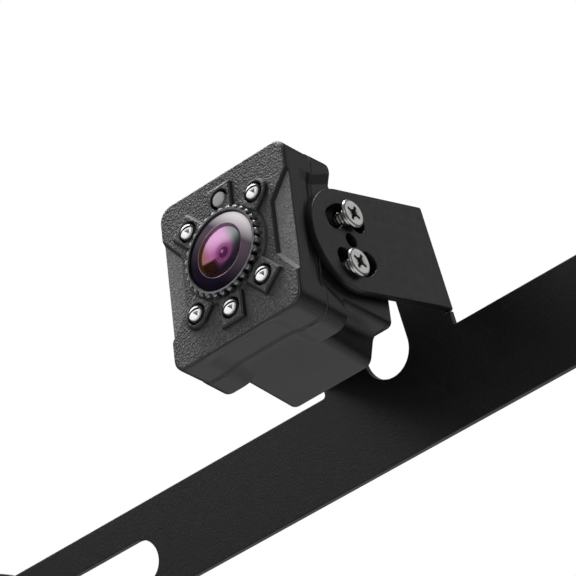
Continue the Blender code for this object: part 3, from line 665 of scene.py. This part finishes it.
def lens_flange():
    """The blackened outer zone of the front element, with a painted reflection: a pale sheen on its upper
    right, darker towards the lower left.
    """
    look = Look("lens_flange", (0.02, 0.015, 0.03), 0.2, IOR=LENS_IOR)
    _, x, z = radial(look)
    # Painted reflection: the sheen grows towards the upper right.
    sheen = along(look, x, z, 47)
    low = look.blend(look.rise(sheen, -4.5, 2.4), (0.005, 0.003, 0.008), (0.06, 0.046, 0.06))
    look.colour(look.blend(look.spread(sheen, 0, 1, 2.7, 5.8), low, (0.58, 0.54, 0.565)))
    return look.material


def lamp_white():
    """The bright cup of a lamp, with painted shade: black inside its split and its pit."""
    look = Look("lamp_white", (0.92, 0.92, 0.93), 0.25)
    bright = look.blend(look.noise(0.7), (0.86, 0.86, 0.88), (0.98, 0.98, 0.99))
    _, x, z = radial(look)
    # Painted shade: the cut split and pit are also coloured near black.
    across = along(look, x, z, 90 - LAMP_GAP_TURN)
    split = look.maths("ABSOLUTE", look.maths("SUBTRACT", across, LAMP_GAP_Z))
    dark = look.spread(split, 1, 0, LAMP_GAP * 0.5, LAMP_GAP * 0.7)
    pit = 1.0
    for (x0, z0), (x1, z1) in zip(LAMP_PIT, [*LAMP_PIT[1:], LAMP_PIT[0]]):
        turn = math.atan2(z1 - z0, x1 - x0) + math.pi / 2
        border = x0 * math.cos(turn) + z0 * math.sin(turn)
        within = look.spread(along(look, x, z, math.degrees(turn)), 1, 0, border - 0.04, border + 0.04)
        pit = look.maths("MINIMUM", pit, within)
    hole = look.blend(look.noise(0.5), (0.004, 0.004, 0.004), (0.1, 0.1, 0.103))
    look.colour(look.blend(dark, look.blend(pit, bright, hole), (0.003, 0.003, 0.003)))
    look.normal(look.bump(look.noise(0.3), 0.004, 0.5))
    return look.material


PLASTIC = housing_plastic()
POWDER = powder_coat()
ZINC = zinc()
ANODISED = black_anodised()
BLACK_OXIDE = plain("black_oxide", (0.012, 0.012, 0.013), (0.03, 0.03, 0.031), 0.4, 0.3, Metallic=0.6)
BRASS = plain("brass", (0.4, 0.26, 0.09), (0.6, 0.43, 0.18), 0.35, 0.4, Metallic=1.0)
RUBBER = plain("rubber", (0.012, 0.012, 0.012), (0.024, 0.024, 0.025), 0.75, 0.2, 0.02)
MOULDED_BLACK = plain("moulded_black", (0.015, 0.015, 0.016), (0.03, 0.03, 0.03), 0.5, 0.2)
# Painted shade: the lamps' bases, near black for the shade down in their wells.
WELL_PAINTED_SHADE = plain(
    "lamp_well_shade", (0.002, 0.002, 0.002), (0.004, 0.004, 0.004), 0.5, 0.2, Specular_IOR_Level=0.2
)
NYLON = plain("nylon_white", (0.7, 0.7, 0.64), (0.82, 0.82, 0.78), 0.45, 0.4)
SENSOR_RESIN = plain("sensor_grey", (0.12, 0.12, 0.123), (0.22, 0.22, 0.225), 0.5, 0.22, 0.03)
LAMP_WHITE = lamp_white()
# Painted shade: a darker zinc for the screws' cross recesses and for their threads inside the housing.
ZINC_DARK = plain("zinc_recess", (0.03, 0.03, 0.03), (0.14, 0.14, 0.135), 0.4, 0.25, Metallic=1.0)
CLEAR_RESIN = plain("lamp_resin", (0.2, 0.2, 0.2), (0.3, 0.3, 0.3), 0.08, 0.5, 0.002, Alpha=0.07)
RIM_METAL = plain("rim_metal", (0.14, 0.09, 0.12), (0.34, 0.25, 0.3), 0.2, 0.3, 0.002, Metallic=0.5)
# Painted reflection: pink rings that stand for the inner elements' rims seen in the lens.
PUPIL_RING = plain("pupil_ring", (0.14, 0.04, 0.1), (0.24, 0.1, 0.19), 0.3, 0.3, 0.002)
LENS_DOME = Look("lens_dome", (0.03, 0.02, 0.03), 0.2, Alpha=0.02, Specular_IOR_Level=0.1).material
CLEAR = clear_glass()
BOARD = circuit_board()


# ------------ bracket


def bend(bm, side):
    """Fold what lies beyond the bend line forwards into an ear. side is 1 for +X and -1 for -X."""
    start = TAB_HALF_WIDTH - BEND_RADIUS
    neutral = BEND_RADIUS - SHEET / 2
    length = neutral * math.pi / 2
    for k in range(9):
        station = side * (start + length * k / 8)
        bmesh.ops.bisect_plane(
            bm, geom=bm.verts[:] + bm.edges[:] + bm.faces[:], plane_co=(station, 0, 0), plane_no=(1, 0, 0)
        )
    low, far = BAR_TOP + EAR_LIFT - SLIT / 2, EYE[0] - EYE_RADIUS
    ear = [v for v in bm.verts if start < side * v.co.x < far and v.co.z > low]
    for v in ear:
        along_sheet = side * v.co.x - start
        angle = min(along_sheet / neutral, math.pi / 2)
        radius = BEND_RADIUS + v.co.y
        x = start + radius * math.sin(angle)
        y = -BEND_RADIUS + radius * math.cos(angle) - max(0, along_sheet - length)
        v.co = (side * x, y, v.co.z)


def flat_pattern():
    """The bracket as cut from the sheet, before its ears are bent: an outline and the holes, in X and Z."""
    start = TAB_HALF_WIDTH - BEND_RADIUS
    stretch = start + (BEND_RADIUS - SHEET / 2) * math.pi / 2 - BEND_RADIUS
    pivot = (stretch - PIVOT.y / MM, PIVOT.z / MM)
    low = math.asin((-BAR_TOP - EYE[1]) / EYE_RADIUS)
    high = math.asin((BAR_TOP - EYE[1]) / EYE_RADIUS)
    notch = BAR_TOP + EAR_LIFT - SLIT
    fillet = (FOOT_HALF_WIDTH + FOOT_FILLET, BAR_TOP + FOOT_FILLET)
    right = [(0, -BAR_TOP)] + arc(EYE, EYE_RADIUS, -math.pi - low, math.pi - high, 90)
    right += arc(fillet, FOOT_FILLET, 1.5 * math.pi, math.pi, 6)
    slit_end = start - SLIT_REACH
    right += [(FOOT_HALF_WIDTH, notch), (slit_end, notch), (slit_end, notch + SLIT)]
    right += arc(pivot, EAR_RADIUS, -math.pi / 2, math.pi / 2, 72)
    outline = right + [(-x, z) for x, z in reversed(right[1:])]
    cable = arc((0, BAR_TOP + CABLE_HOLE_HIGH), CABLE_HOLE_RADIUS, 0, math.pi, 40)
    cable += arc((0, BAR_TOP + CABLE_HOLE_LOW), CABLE_HOLE_RADIUS, math.pi, 2 * math.pi, 40)
    holes = [cable]
    for side in (-1, 1):
        slot = arc((SLOT_OUTER_X, EYE[1]), SLOT_RADIUS, -math.pi / 2, math.pi / 2, 36)
        slot += arc((SLOT_INNER_X, EYE[1]), SLOT_RADIUS, math.pi / 2, 1.5 * math.pi, 36)
        pivot_hole = arc(pivot, PIVOT_HOLE_RADIUS, 0, 2 * math.pi, 32)[:-1]
        for hole in (slot, pivot_hole, curved_slot(pivot, upper=True), curved_slot(pivot, upper=False)):
            holes.append([(side * x, z) for x, z in hole])
    return outline, holes


def curved_slot(pivot, upper):
    """The outline of a curved slot about the tilt axis."""
    middle = math.pi / 2 if upper else -math.pi / 2
    start, end = middle - ARC_HALF_SWEEP, middle + ARC_HALF_SWEEP
    caps = arc(pivot, ARC_RADIUS, end, start, 1)
    outline = arc(pivot, ARC_RADIUS + ARC_HALF_WIDTH, start, end, 28)
    outline += arc(caps[0], ARC_HALF_WIDTH, end, end + math.pi, 18)[1:-1]
    outline += arc(pivot, ARC_RADIUS - ARC_HALF_WIDTH, end, start, 28)
    outline += arc(caps[1], ARC_HALF_WIDTH, start + math.pi, start + 2 * math.pi, 18)[1:-1]
    return outline


def make_bracket():
    outline, holes = flat_pattern()
    sheet = bpy.data.curves.new("flat_sheet", "CURVE")
    sheet.dimensions = "2D"
    sheet.fill_mode = "BOTH"
    sheet.extrude = SHEET / 2 - SHEET_EDGE
    sheet.bevel_depth = SHEET_EDGE
    sheet.bevel_resolution = 2
    sheet.offset = -SHEET_EDGE
    for points in [outline, *holes]:
        spline = sheet.splines.new("POLY")
        spline.points.add(len(points) - 1)
        for point, (x, z) in zip(spline.points, points):
            point.co = (x, z, 0, 1)
        spline.use_cyclic_u = True
    made = put("flat_sheet", sheet)
    bpy.context.view_layer.update()
    mesh = bpy.data.meshes.new_from_object(made.evaluated_get(bpy.context.evaluated_depsgraph_get()))
    bpy.data.objects.remove(made, do_unlink=True)
    bm = bmesh.new()
    bm.from_mesh(mesh)
    bmesh.ops.remove_doubles(bm, verts=bm.verts, dist=1e-4)
    shifted(spun(bm, math.pi / 2, "X"), y=-SHEET / 2)
    for side in (-1, 1):
        bend(bm, side)
    bracket = draft("bracket_sheet", bm)
    finish(bracket, POWDER, "bracket", ["bracket"], WHOLE_SPACE, sharp=None)
    flat = bracket.modifiers.new("flat_faces", "WEIGHTED_NORMAL")
    flat.keep_sharp = True
    flat.weight = 100


# ------------ housing


def lamp_places():
    """The five lamps' centres round the lens: two above, three below."""
    upper = [(LAMP_X, LAMP_Z), (-LAMP_X, LAMP_Z)]
    return [*upper, (-LAMP_X, -LAMP_Z), (0, -LAMP_POLE), (LAMP_X, -LAMP_Z)]


def case_screw_places():
    return [(x * CASE_SCREW_X, z * CASE_SCREW_Z) for x in (-1, 1) for z in (-1, 1)]


def shell_section(inset=0.0, channel=0.0, recess=0.0, recess_z=RECESS_Z, flare=0.0):
    """The housing's outline where it has its four full corners."""
    half_x = BODY_X - inset
    half_z = BODY_Z - inset + flare
    quarter = [
        (CHANNEL_X, half_z - channel, CHANNEL_CORNER),
        (CREST_X, half_z, CREST_CORNER),
        (half_x, half_z, BODY_CORNER),
        (half_x, recess_z + RECESS_RAMP, CRISP_CORNER),
        (half_x - recess, recess_z, CRISP_CORNER),
    ]
    return softened(mirrored(quarter))


def core_section(top, inset=0.0):
    """The plus-shaped outline of the back of the housing."""
    foot_x, foot_rise = CORE_FOOT
    quarter = [
        (CORE_TOP_X - inset, top - inset, CORE_CORNER),
        (foot_x - inset, SHOULDER_Z + foot_rise - inset, CREST_CORNER),
        (SIDE_X - inset, SHOULDER_Z - inset, CREST_CORNER),
    ]
    return softened(mirrored(quarter))


def pad_section(inset):
    """The rounded rectangle in the middle of the back, between the ears."""
    inset += 0.02
    return softened(mirrored([(SIDE_X - inset, SHOULDER_Z - inset, CREST_CORNER)]))


def plus_outline(wide, low, narrow, high):
    """Two crossed rectangles: wide x low and narrow x high, all half sizes."""
    return mirrored([(narrow, high), (narrow, low), (wide, low)])


def lamp_boss(place, round_end):
    """A raised bar that runs out from the collar and ends round or square behind its lamp."""
    distance = math.hypot(*place)
    root = COLLAR_RADIUS - 0.6
    sections = []
    for sink, inset in ((0.0, 1.0), (0.25, 0.45), (0.6, 0.12), (1.0, 0.0)):
        half = BOSS_HALF_WIDTH - SHOULDER * inset
        if round_end:
            tip = arc((0, distance), half, 0, math.pi, 24)
        else:
            end = distance + BOSS_REACH - SHOULDER * inset
            tip = [(half, end), (-half, end)]
        sections.append((BOSS_TOP_Y + SHOULDER * sink, [(half, root), *tip, (-half, root)]))
    sections.append((FRONT_Y + 0.8, sections[-1][1]))
    return spun(loft(sections), math.atan2(place[0], place[1]), "Y")


def side_panel(side):
    """The lowered panel beside the lens: short on the inside, long at the housing's edge."""
    (inner_x, inner_z), (outer_x, outer_z) = PANEL_INNER, PANEL_OUTER
    sections = []
    for station, grow in ((-1.0, 0.5), (0.0, 0.5), (0.2, 0.35), (PANEL_DEPTH, 0.0)):
        inner = inner_z + PANEL_GROWTH[0] * grow
        outer = outer_z + PANEL_GROWTH[1] * grow
        outline = [(inner_x - grow, inner), (outer_x, outer), (outer_x, -outer), (inner_x - grow, -inner)]
        sections.append((FRONT_Y + station, [(side * x, z) for x, z in outline]))
    return loft(sections)


def make_front_shell():
    seam = SEAM_Y - SEAM_HALF
    full_recess = BODY_X - SIDE_X
    groove_end = RECESS_STEP_Y + RECESS_GROOVE_WIDTH
    sections = [
        (FRONT_Y, shell_section(inset=0.4)),
        (FRONT_Y + 0.1, shell_section(inset=0.18)),
        (FRONT_Y + 0.3, shell_section(inset=0.03, channel=0.02)),
        (FRONT_Y + 0.9, shell_section(channel=0.2)),
        (FRONT_Y + 1.8, shell_section(channel=CHANNEL)),
        (RECESS_Y - 0.1, shell_section(channel=CHANNEL)),
        (RECESS_Y, shell_section(channel=CHANNEL, recess=RECESS_STEP)),
        (RECESS_STEP_Y - 0.1, shell_section(channel=CHANNEL, recess=RECESS_STEP)),
        (RECESS_STEP_Y, shell_section(channel=CHANNEL, recess=RECESS_GROOVE)),
        (groove_end, shell_section(channel=CHANNEL, recess=RECESS_GROOVE)),
        (groove_end + 0.1, shell_section(channel=CHANNEL, recess=full_recess)),
        (seam, shell_section(channel=CHANNEL, recess=full_recess, flare=FLARE / 2)),
    ]
    shell = draft("front_shell", loft(sections))
    lamps = [*lamp_places(), (0, LAMP_POLE)]
    bosses = [draft(f"boss_{i}", lamp_boss(place, i in (0, 2))) for i, place in enumerate(lamps)]
    bore_wall = BORE_RADIUS - 0.5
    collar = draft("collar", turned([
        (bore_wall, FRONT_Y + 0.5), (bore_wall, COLLAR_TOP_Y),
        (COLLAR_RADIUS - 0.3, COLLAR_TOP_Y), (COLLAR_RADIUS - 0.1, COLLAR_TOP_Y + 0.1),
        (COLLAR_RADIUS, COLLAR_TOP_Y + 0.3), (COLLAR_RADIUS, FRONT_Y + 0.5),
    ]))
    panels = [draft(f"panel_{side}", side_panel(side)) for side in (-1, 1)]
    wells = []
    for i, (x, z) in enumerate(lamps):
        wells.append(draft(f"well_{i}", shifted(disc(WELL_RADIUS, FRONT_Y - 2, WELL_FLOOR_Y), x, 0, z)))
    bore = draft("lens_bore", disc(BORE_RADIUS, FRONT_Y - 3, 0, 72))
    combine(shell, panels)
    combine(shell, [*bosses, collar], "UNION")
    combine(shell, [*wells, bore])
    moulded(shell, voxel=0.11, passes=5, keep=0.3)
    cavity = draft("cavity", prism(plus_outline(*CAVITY), CAVITY_FRONT_Y, 0))
    combine(shell, [cavity], solver="MANIFOLD")
    finish(shell, PLASTIC, "camera", ["front_housing"], sharp=None)


def make_rear_shell():
    start = SEAM_Y + SEAM_HALF
    full_recess = BODY_X - SIDE_X + 0.02
    channel = CHANNEL + 0.1
    rear_top = CORE_TOP + CORE_RISE
    core = [
        (start, core_section(CORE_TOP)),
        (REAR_Y - 0.5, core_section(rear_top)),
        (REAR_Y - 0.15, core_section(rear_top, 0.1)),
        (REAR_Y, core_section(rear_top, 0.4)),
    ]
    posts = [
        (start, shell_section(0.0, channel, full_recess, flare=FLARE / 2)),
        (POST_END_Y - 0.15, shell_section(0.0, channel, full_recess, POST_RECESS_Z, FLARE)),
        (POST_END_Y, shell_section(0.15, channel, full_recess - 0.15, POST_RECESS_Z, FLARE)),
    ]
    back = REAR_Y + REAR_PAD
    pad = [
        (REAR_Y - 1, pad_section(0)),
        (back - 0.6, pad_section(0)),
        (back - 0.15, pad_section(0.15)),
        (back, pad_section(0.5)),
    ]
    shell = draft("rear_shell", loft(core))
    combine(shell, [draft("corner_posts", loft(posts)), draft("rear_pad", loft(pad))], "UNION")
    tools = []
    for i, (x, z) in enumerate(case_screw_places()):
        tools.append(draft(f"sink_{i}", shifted(disc(SINK_RADIUS, POST_END_Y - SCREW_SINK, 0), x, 0, z)))
        tools.append(draft(f"hole_{i}", shifted(disc(CASE_HEAD_RADIUS, CUT_START_Y, 0, 32), x, 0, z)))
    for side in (-1, 1):
        for height in (-ARC_RADIUS, ARC_RADIUS):
            for radius, outer in ((INSERT_BORE, BORE_LIP_X), (BORE_LIP_RADIUS, BEYOND_X)):
                bore = disc(radius, *sorted((side * BORE_END_X, side * outer)), axis="X")
                tools.append(draft("screw_bore", shifted(bore, 0, 0, height - CENTRE_Z)))
    combine(shell, tools)
    moulded(shell, voxel=0.12, passes=4, keep=0.25)
    cavity = draft("cavity", prism(plus_outline(*CAVITY), CUT_START_Y, REAR_WALL_Y))
    gland = draft("gland_bore", disc(GLAND_BORE, REAR_WALL_Y - 1, back + 1))
    combine(shell, [cavity, gland], solver="MANIFOLD")
    finish(shell, PLASTIC, "camera", ["rear_housing"], sharp=None)


# ------------ lens


def toothed_ring():
    """The knurled focus ring: (radius, station, share of the tooth's depth) points, waving once a tooth."""
    bm = bmesh.new()
    steps = RING_TEETH * 10
    profile = [
        (RING_BORE, -12.7, 0.0), (7.05, -12.7, 0.6), (7.2, -12.76, 0.9), (RING_RADIUS, -12.86, 1.0),
        (RING_RADIUS, -13.5, 1.0), (7.2, -13.62, 0.95), (7.08, -13.71, 0.8), (6.9, RING_TOP_Y, 0.45),
        (6.62, RING_TOP_Y, 0.0), (6.4, -13.74, 0.0), (6.3, -13.68, 0.0), (6.25, -13.58, 0.0),
        (6.25, -12.95, 0.0), (RING_BORE, -12.95, 0.0),
    ]
    loops = []
    for radius, station, share in profile:
        loop = []
        for i in range(steps):
            angle = 2 * math.pi * i / steps
            wave = 0.5 - 0.5 * math.cos(RING_TEETH * angle)
            reach = radius - TOOTH_DEPTH * share * wave**TOOTH_POWER
            loop.append(bm.verts.new((reach * math.cos(angle), station, reach * math.sin(angle))))
        loops.append(loop)
    for near, far in zip(loops, [*loops[1:], loops[0]]):
        for i in range(steps):
            k = (i + 1) % steps
            bm.faces.new((near[i], near[k], far[k], far[i]))
    return bm


def lens_piece(name, profile, material, replaced=(), steps=96):
    piece = draft(name, turned(profile, steps))
    finish(piece, material, "lens", replaced)


def wire_ring(name, radius, station, wire, material, steps=96):
    profile = arc((radius, station), wire, 0, 2 * math.pi, 8)[:-1]
    lens_piece(name, profile, material, steps=steps)


def on_bowl(radius):
    """The station of the bowl's surface at a distance from the lens axis."""
    curve = (BOWL_RADIUS**2 + BOWL_DEPTH**2) / (2 * BOWL_DEPTH)
    return INNER_RIM_Y + BOWL_RIM + BOWL_DEPTH - curve + math.sqrt(curve**2 - radius**2)


def make_lens():
    ring = draft("focus_ring", toothed_ring())
    # The ring's material: lighter tips, partly wear and partly painted highlights.
    worn = black_anodised("ring_black", RING_WEAR_AND_SHEEN_FROM)
    finish(ring, worn, "lens", ["lens_ring"], sharp=50)
    flange = [
        (INNER_RADIUS + 0.1, GLASS_BACK_Y), (INNER_RADIUS + 0.1, INNER_RIM_Y), (5.0, -13.82),
        (5.6, -13.72), (6.0, -13.6), (GLASS_RADIUS, GLASS_RIM_Y), (GLASS_RADIUS, GLASS_BACK_Y),
    ]
    lens_piece("lens_flange", flange, lens_flange(), ["front_glass"])
    bowl = dome(BOWL_RADIUS, INNER_RIM_Y + BOWL_RIM, -BOWL_DEPTH, 16)
    bowl += [(INNER_RADIUS, INNER_RIM_Y), (INNER_RADIUS, INNER_BACK_Y), (0, INNER_BACK_Y)]
    lens_piece("inner_element", bowl, element_painted_reflections(), ["second_lens"])
    cover = dome(INNER_RADIUS, INNER_RIM_Y, COVER_SAG, 14) + [(INNER_RADIUS, INNER_RIM_Y + 0.1)]
    cover += reversed(dome(INNER_RADIUS - COVER_THICKNESS, INNER_RIM_Y + 0.02, COVER_SAG, 14))
    lens_piece("element_dome", cover, LENS_DOME)
    wire_ring("element_rim", INNER_RADIUS + 0.05, INNER_RIM_Y, 0.06, RIM_METAL)
    # Painted reflections: two rings on the bowl, for the inner elements' rims seen in the lens.
    for name, radius, wire in PUPIL_RINGS:
        wire_ring(f"pupil_ring_{name}", radius, on_bowl(radius), wire, PUPIL_RING, 64)


# ------------ lamps and light sensor


def make_lamps():
    """Each lamp: a bright split reflector over a base painted near black for the shade in its well, under its
    clear dome.
    """
    for i, (x, z) in enumerate(lamp_places(), start=1):
        place = beside(x, z)
        cap = domed(LAMP_CAP_RADIUS, LAMP_CAP_Y, LAMP_CAP_SAG, 10, LAMP_CAP_BACK_Y)
        reflector = draft(f"lamp_{i}_reflector", turned(cap, 40))
        gap = draft("gap", box((4, 3, LAMP_GAP), (0, LAMP_GAP_FLOOR_Y - 1.5, LAMP_GAP_Z)))
        gap.rotation_euler = (0, math.radians(LAMP_GAP_TURN), 0)
        pit = draft("pit", prism(LAMP_PIT, -16, LAMP_PIT_FLOOR_Y))
        combine(reflector, [gap, pit])
        finish(reflector, LAMP_WHITE, "camera", (), place, sharp=30)
        base = draft(f"lamp_{i}_base", disc(LAMP_BASE_RADIUS, LAMP_BASE_Y, LAMP_BASE_BACK_Y, 40))
        finish(base, WELL_PAINTED_SHADE, "camera", (), place)
        outer = domed(LAMP_DOME_RADIUS, LAMP_RIM_Y, LAMP_DOME_SAG, 12, LAMP_BACK_Y)
        cover = draft(f"lamp_{i}_dome", turned(outer, 40))
        finish(cover, CLEAR_RESIN, "camera", [f"led_{i}"], place)


def make_light_sensor():
    cell = [
        (0, -12.97), (0.8, -12.97), (1.05, -12.93), (1.17, -12.85), (SENSOR_RADIUS, -12.7),
        (SENSOR_RADIUS, SENSOR_BACK_Y), (0, SENSOR_BACK_Y),
    ]
    sensor = draft("light_cell", turned(cell, 48))
    finish(sensor, SENSOR_RESIN, "camera", ["light_sensor"], beside(0, LAMP_POLE))


# ------------ screws and gland


def cross_blades(face, depth, arm, turn):
    """A cross recess: two tapered blades and a cone, cut in from the station face along +Y."""
    tools = []
    for k in (0, 1):
        blade = box((2, depth + 0.2, 2), (0, face + (depth - 0.2) / 2, 0))
        for corner in blade.verts:
            outside = corner.co.y < face
            corner.co.x *= arm * (1.12 if outside else 0.4)
            corner.co.z *= arm * (0.2 if outside else 0.11)
        tools.append(draft(f"blade_{k}", spun(blade, turn + k * math.pi / 2, "Y")))
    cone = [(0, face - 0.3), (arm * 0.52, face - 0.3), (arm * 0.3, face + depth), (0, face + depth * 1.35)]
    return [*tools, draft("cone", turned(cone, 24))]


def threaded(radius, start, end, pitch=0.5, depth=0.16):
    """(radius, station) points of a threaded shank's outline, from start to end."""
    points = []
    count = int(abs(end - start) / pitch)
    step = math.copysign(pitch, end - start)
    for k in range(count):
        for height, share in ((radius - depth, 0.1), (radius, 0.5), (radius, 0.62)):
            points.append((height, start + step * (k + share)))
    return points + [(radius - depth, start + step * count)]


def shade_recess(screw, face, seat):
    """Painted shade: a darker, duller zinc on the cross recess and on the thread inside the housing."""
    screw.data.materials.append(ZINC_DARK)
    for polygon in screw.data.polygons:
        centre = polygon.center / MM
        recess = math.hypot(centre.x, centre.z) < 1.6 and face + 0.1 < centre.y < face + 1.2
        if recess or centre.y > seat + 1.5:
            polygon.material_index = 1


def make_tilt_screws():
    """Along -Y: the head's face is the lowest station, and each screw is turned to point along X."""
    seat = -(TAB_HALF_WIDTH + SCREW_HEAD_GAP)
    face = seat - SCREW_HEAD_HEIGHT
    rim = SCREW_HEAD_RADIUS
    head = [
        (0, face + 0.06), (rim - 0.75, face + 0.02), (rim - 0.42, face), (rim - 0.22, face + 0.05),
        (rim - 0.08, face + 0.16), (rim, face + 0.34), (rim - 0.04, face + 0.45), (rim - 0.2, face + 0.52),
        (SCREW_SHANK_RADIUS + 0.1, seat), (SCREW_SHANK_RADIUS, seat),
    ]
    shank = threaded(SCREW_SHANK_RADIUS, seat + 0.1, -SCREW_TIP - 0.4)
    profile = head + shank + [(0.9, -SCREW_TIP - 0.05), (0, -SCREW_TIP)]
    for side, side_name in ((1, "right"), (-1, "left")):
        for height_name, height in (("upper", ARC_RADIUS), ("lower", -ARC_RADIUS)):
            label = f"{side_name}_{height_name}"
            screw = draft(f"clamp_screw_{label}", turned(profile, 64))
            combine(screw, cross_blades(face, 0.75, 1.45, math.radians(20)))
            edge = screw.modifiers.new("worn_edges", "BEVEL")
            edge.width = 0.04
            edge.segments = 2
            edge.limit_method = "ANGLE"
            edge.angle_limit = math.radians(40)
            edge.use_clamp_overlap = True
            settle(screw)
            turn = Matrix.Rotation(side * math.pi / 2, 4, "Z")
            place = CAMERA_SPACE @ Matrix.Translation((0, 0, height * MM)) @ turn
            finish(screw, ZINC, f"screw_{label}", [f"tilt_screw_{label}"], place, sharp=30)
            shade_recess(screw, face, seat)


def make_case_screws():
    """Along +Y: the head's face is the highest station, sunk in its corner post."""
    face = POST_END_Y - 0.2
    seat = POST_END_Y - SCREW_SINK + 0.15
    profile = [
        (0, face), (0.7, face), (0.92, face - 0.08), (CASE_HEAD_RADIUS, face - 0.25),
        (CASE_HEAD_RADIUS, seat), (CASE_SHANK_RADIUS, seat),
    ]
    profile += threaded(CASE_SHANK_RADIUS, seat, -8.6, 0.4, 0.12) + [(0, -8.7)]
    names = ("lower_left", "upper_left", "lower_right", "upper_right")
    for name, (x, z) in zip(names, case_screw_places()):
        screw = draft(f"housing_screw_{name}", turned(profile, 36))
        tools = cross_blades(-face, 0.45, 0.55, math.radians(10))
        for tool in tools:
            tool.rotation_euler = (0, 0, math.pi)
        combine(screw, tools)
        place = beside(x, z)
        finish(screw, BLACK_OXIDE, "camera", [f"case_screw_{name}"], place, sharp=30)


def make_gland():
    """The rubber boot at the cable's outlet, with its gripping ribs."""
    profile = [
        (1.5, 4.9), (3.9, 4.9), (3.9, 6.2), (2.75, 6.4), (2.75, 9.4), (3.9, 9.5), (4.1, 9.65),
        (4.1, 10.05), (3.95, 10.22), (3.5, 10.3),
    ]
    for k in range(4):
        station = 10.5 + k * 0.75
        crest = 3.35 - k * 0.12
        root = crest - 0.35
        profile += [(root, station), (crest, station + 0.15), (crest, station + 0.45), (root, station + 0.6)]
    profile += [(2.75, 13.7), (2.6, 13.95), (2.4, 14.0), (1.7, 14.0), (1.5, 13.85)]
    boot = draft("gland_boot", turned(profile, 72))
    finish(boot, RUBBER, "camera", ["cable_gland"])


# ------------ what stays from the CAD

NODE_LOOKS = {
    "housing_seal": RUBBER, "lens_barrel": ANODISED, "aperture_disc": ANODISED, "rear_lens": CLEAR,
    "ir_filter": CLEAR, "lens_holder": MOULDED_BLACK, "image_sensor": MOULDED_BLACK, "sensor_board": BOARD,
    "lamp_board": BOARD, "board_connector": NYLON,
}


def dress_cad_nodes():
    for name, node in frame["nodes"].items():
        brass = name.startswith(("board_spacer", "threaded_insert"))
        look = BRASS if brass else NODE_LOOKS.get(name)
        if look:
            for entry in node.material_slots:
                entry.material = look


# ------------ studio


def make_floor():
    mesh = bpy.data.meshes.new("floor")
    half = FLOOR_HALF_WIDTH
    corners = [(-half, -half, 0), (half, -half, 0), (half, half, 0), (-half, half, 0)]
    mesh.from_pydata(corners, [], [(0, 1, 2, 3)])
    floor = put("floor", mesh)
    floor.location = (0, 0, FLOOR_Z)
    look = Look("studio_floor", (0.82, 0.82, 0.82), 0.7)
    look.colour(look.blend(look.noise(90.0), (0.8, 0.8, 0.8), (0.84, 0.84, 0.84)))
    mesh.materials.append(look.material)


def make_world():
    """White behind the object, and a dimmer white round it for its reflections."""
    world = bpy.data.worlds.new("studio")
    bpy.context.scene.world = world
    world.use_nodes = True
    nodes, links = world.node_tree.nodes, world.node_tree.links
    seen = nodes["Background"]
    seen.inputs["Color"].default_value = (1, 1, 1, 1)
    seen.inputs["Strength"].default_value = 1.0
    around = nodes.new("ShaderNodeBackground")
    around.inputs["Color"].default_value = (0.96, 0.98, 1.0, 1)
    around.inputs["Strength"].default_value = 0.085
    path = nodes.new("ShaderNodeLightPath")
    mix = nodes.new("ShaderNodeMixShader")
    links.new(path.outputs["Is Camera Ray"], mix.inputs["Fac"])
    links.new(around.outputs[0], mix.inputs[1])
    links.new(seen.outputs[0], mix.inputs[2])
    links.new(mix.outputs[0], nodes["World Output"].inputs["Surface"])


def softbox(name, place, size, power, glossy=True):
    """A rectangular light that looks at the camera; glossy is whether it shows in reflections."""
    light = bpy.data.lights.new(name, "AREA")
    light.shape = "RECTANGLE"
    light.size, light.size_y = size
    light.energy = power
    lamp = put(name, light)
    lamp.location = place
    lamp.rotation_euler = (PIVOT - Vector(place)).to_track_quat("-Z", "Y").to_euler()
    lamp.visible_glossy = glossy


def make_lights():
    softbox("front_fill", (0.1, -0.8, 0.15), (0.8, 0.8), 7.0, glossy=False)
    softbox("key_upper_left", (-0.55, -0.35, 0.75), (0.6, 0.6), 4.2)
    softbox("bar_sheen", (-0.47, -0.69, 0.32), (0.4, 0.4), 0.095)
    softbox("right_front", (0.62, -0.42, 0.3), (0.25, 0.25), 0.3)
    softbox("behind_right", (0.5, 0.7, 0.33), (0.5, 0.5), 0.5)
    softbox("below_behind", (-0.35, 0.4, -0.4), (0.4, 0.4), 0.24)
    softbox("top_strip", (0.06, 0.2, 0.95), (0.5, 0.3), 6.0)
    softbox("edge_light", (-0.53, 0.36, 0.77), (0.45, 0.45), 3.5)


def make_camera():
    data = bpy.data.cameras.new("camera")
    data.lens = FOCAL_LENGTH
    data.sensor_width = FILM_WIDTH
    data.clip_start = 0.01
    camera = put("camera", data)
    camera.location = VIEW_PLACE
    camera.rotation_euler = [math.radians(angle) for angle in VIEW_TURN]
    bpy.context.scene.camera = camera
    bpy.context.scene.view_settings.view_transform = "Standard"


make_camera()
make_world()
make_lights()
make_floor()
make_bracket()
make_front_shell()
make_rear_shell()
make_lens()
make_lamps()
make_light_sensor()
make_tilt_screws()
make_case_screws()
make_gland()
dress_cad_nodes()
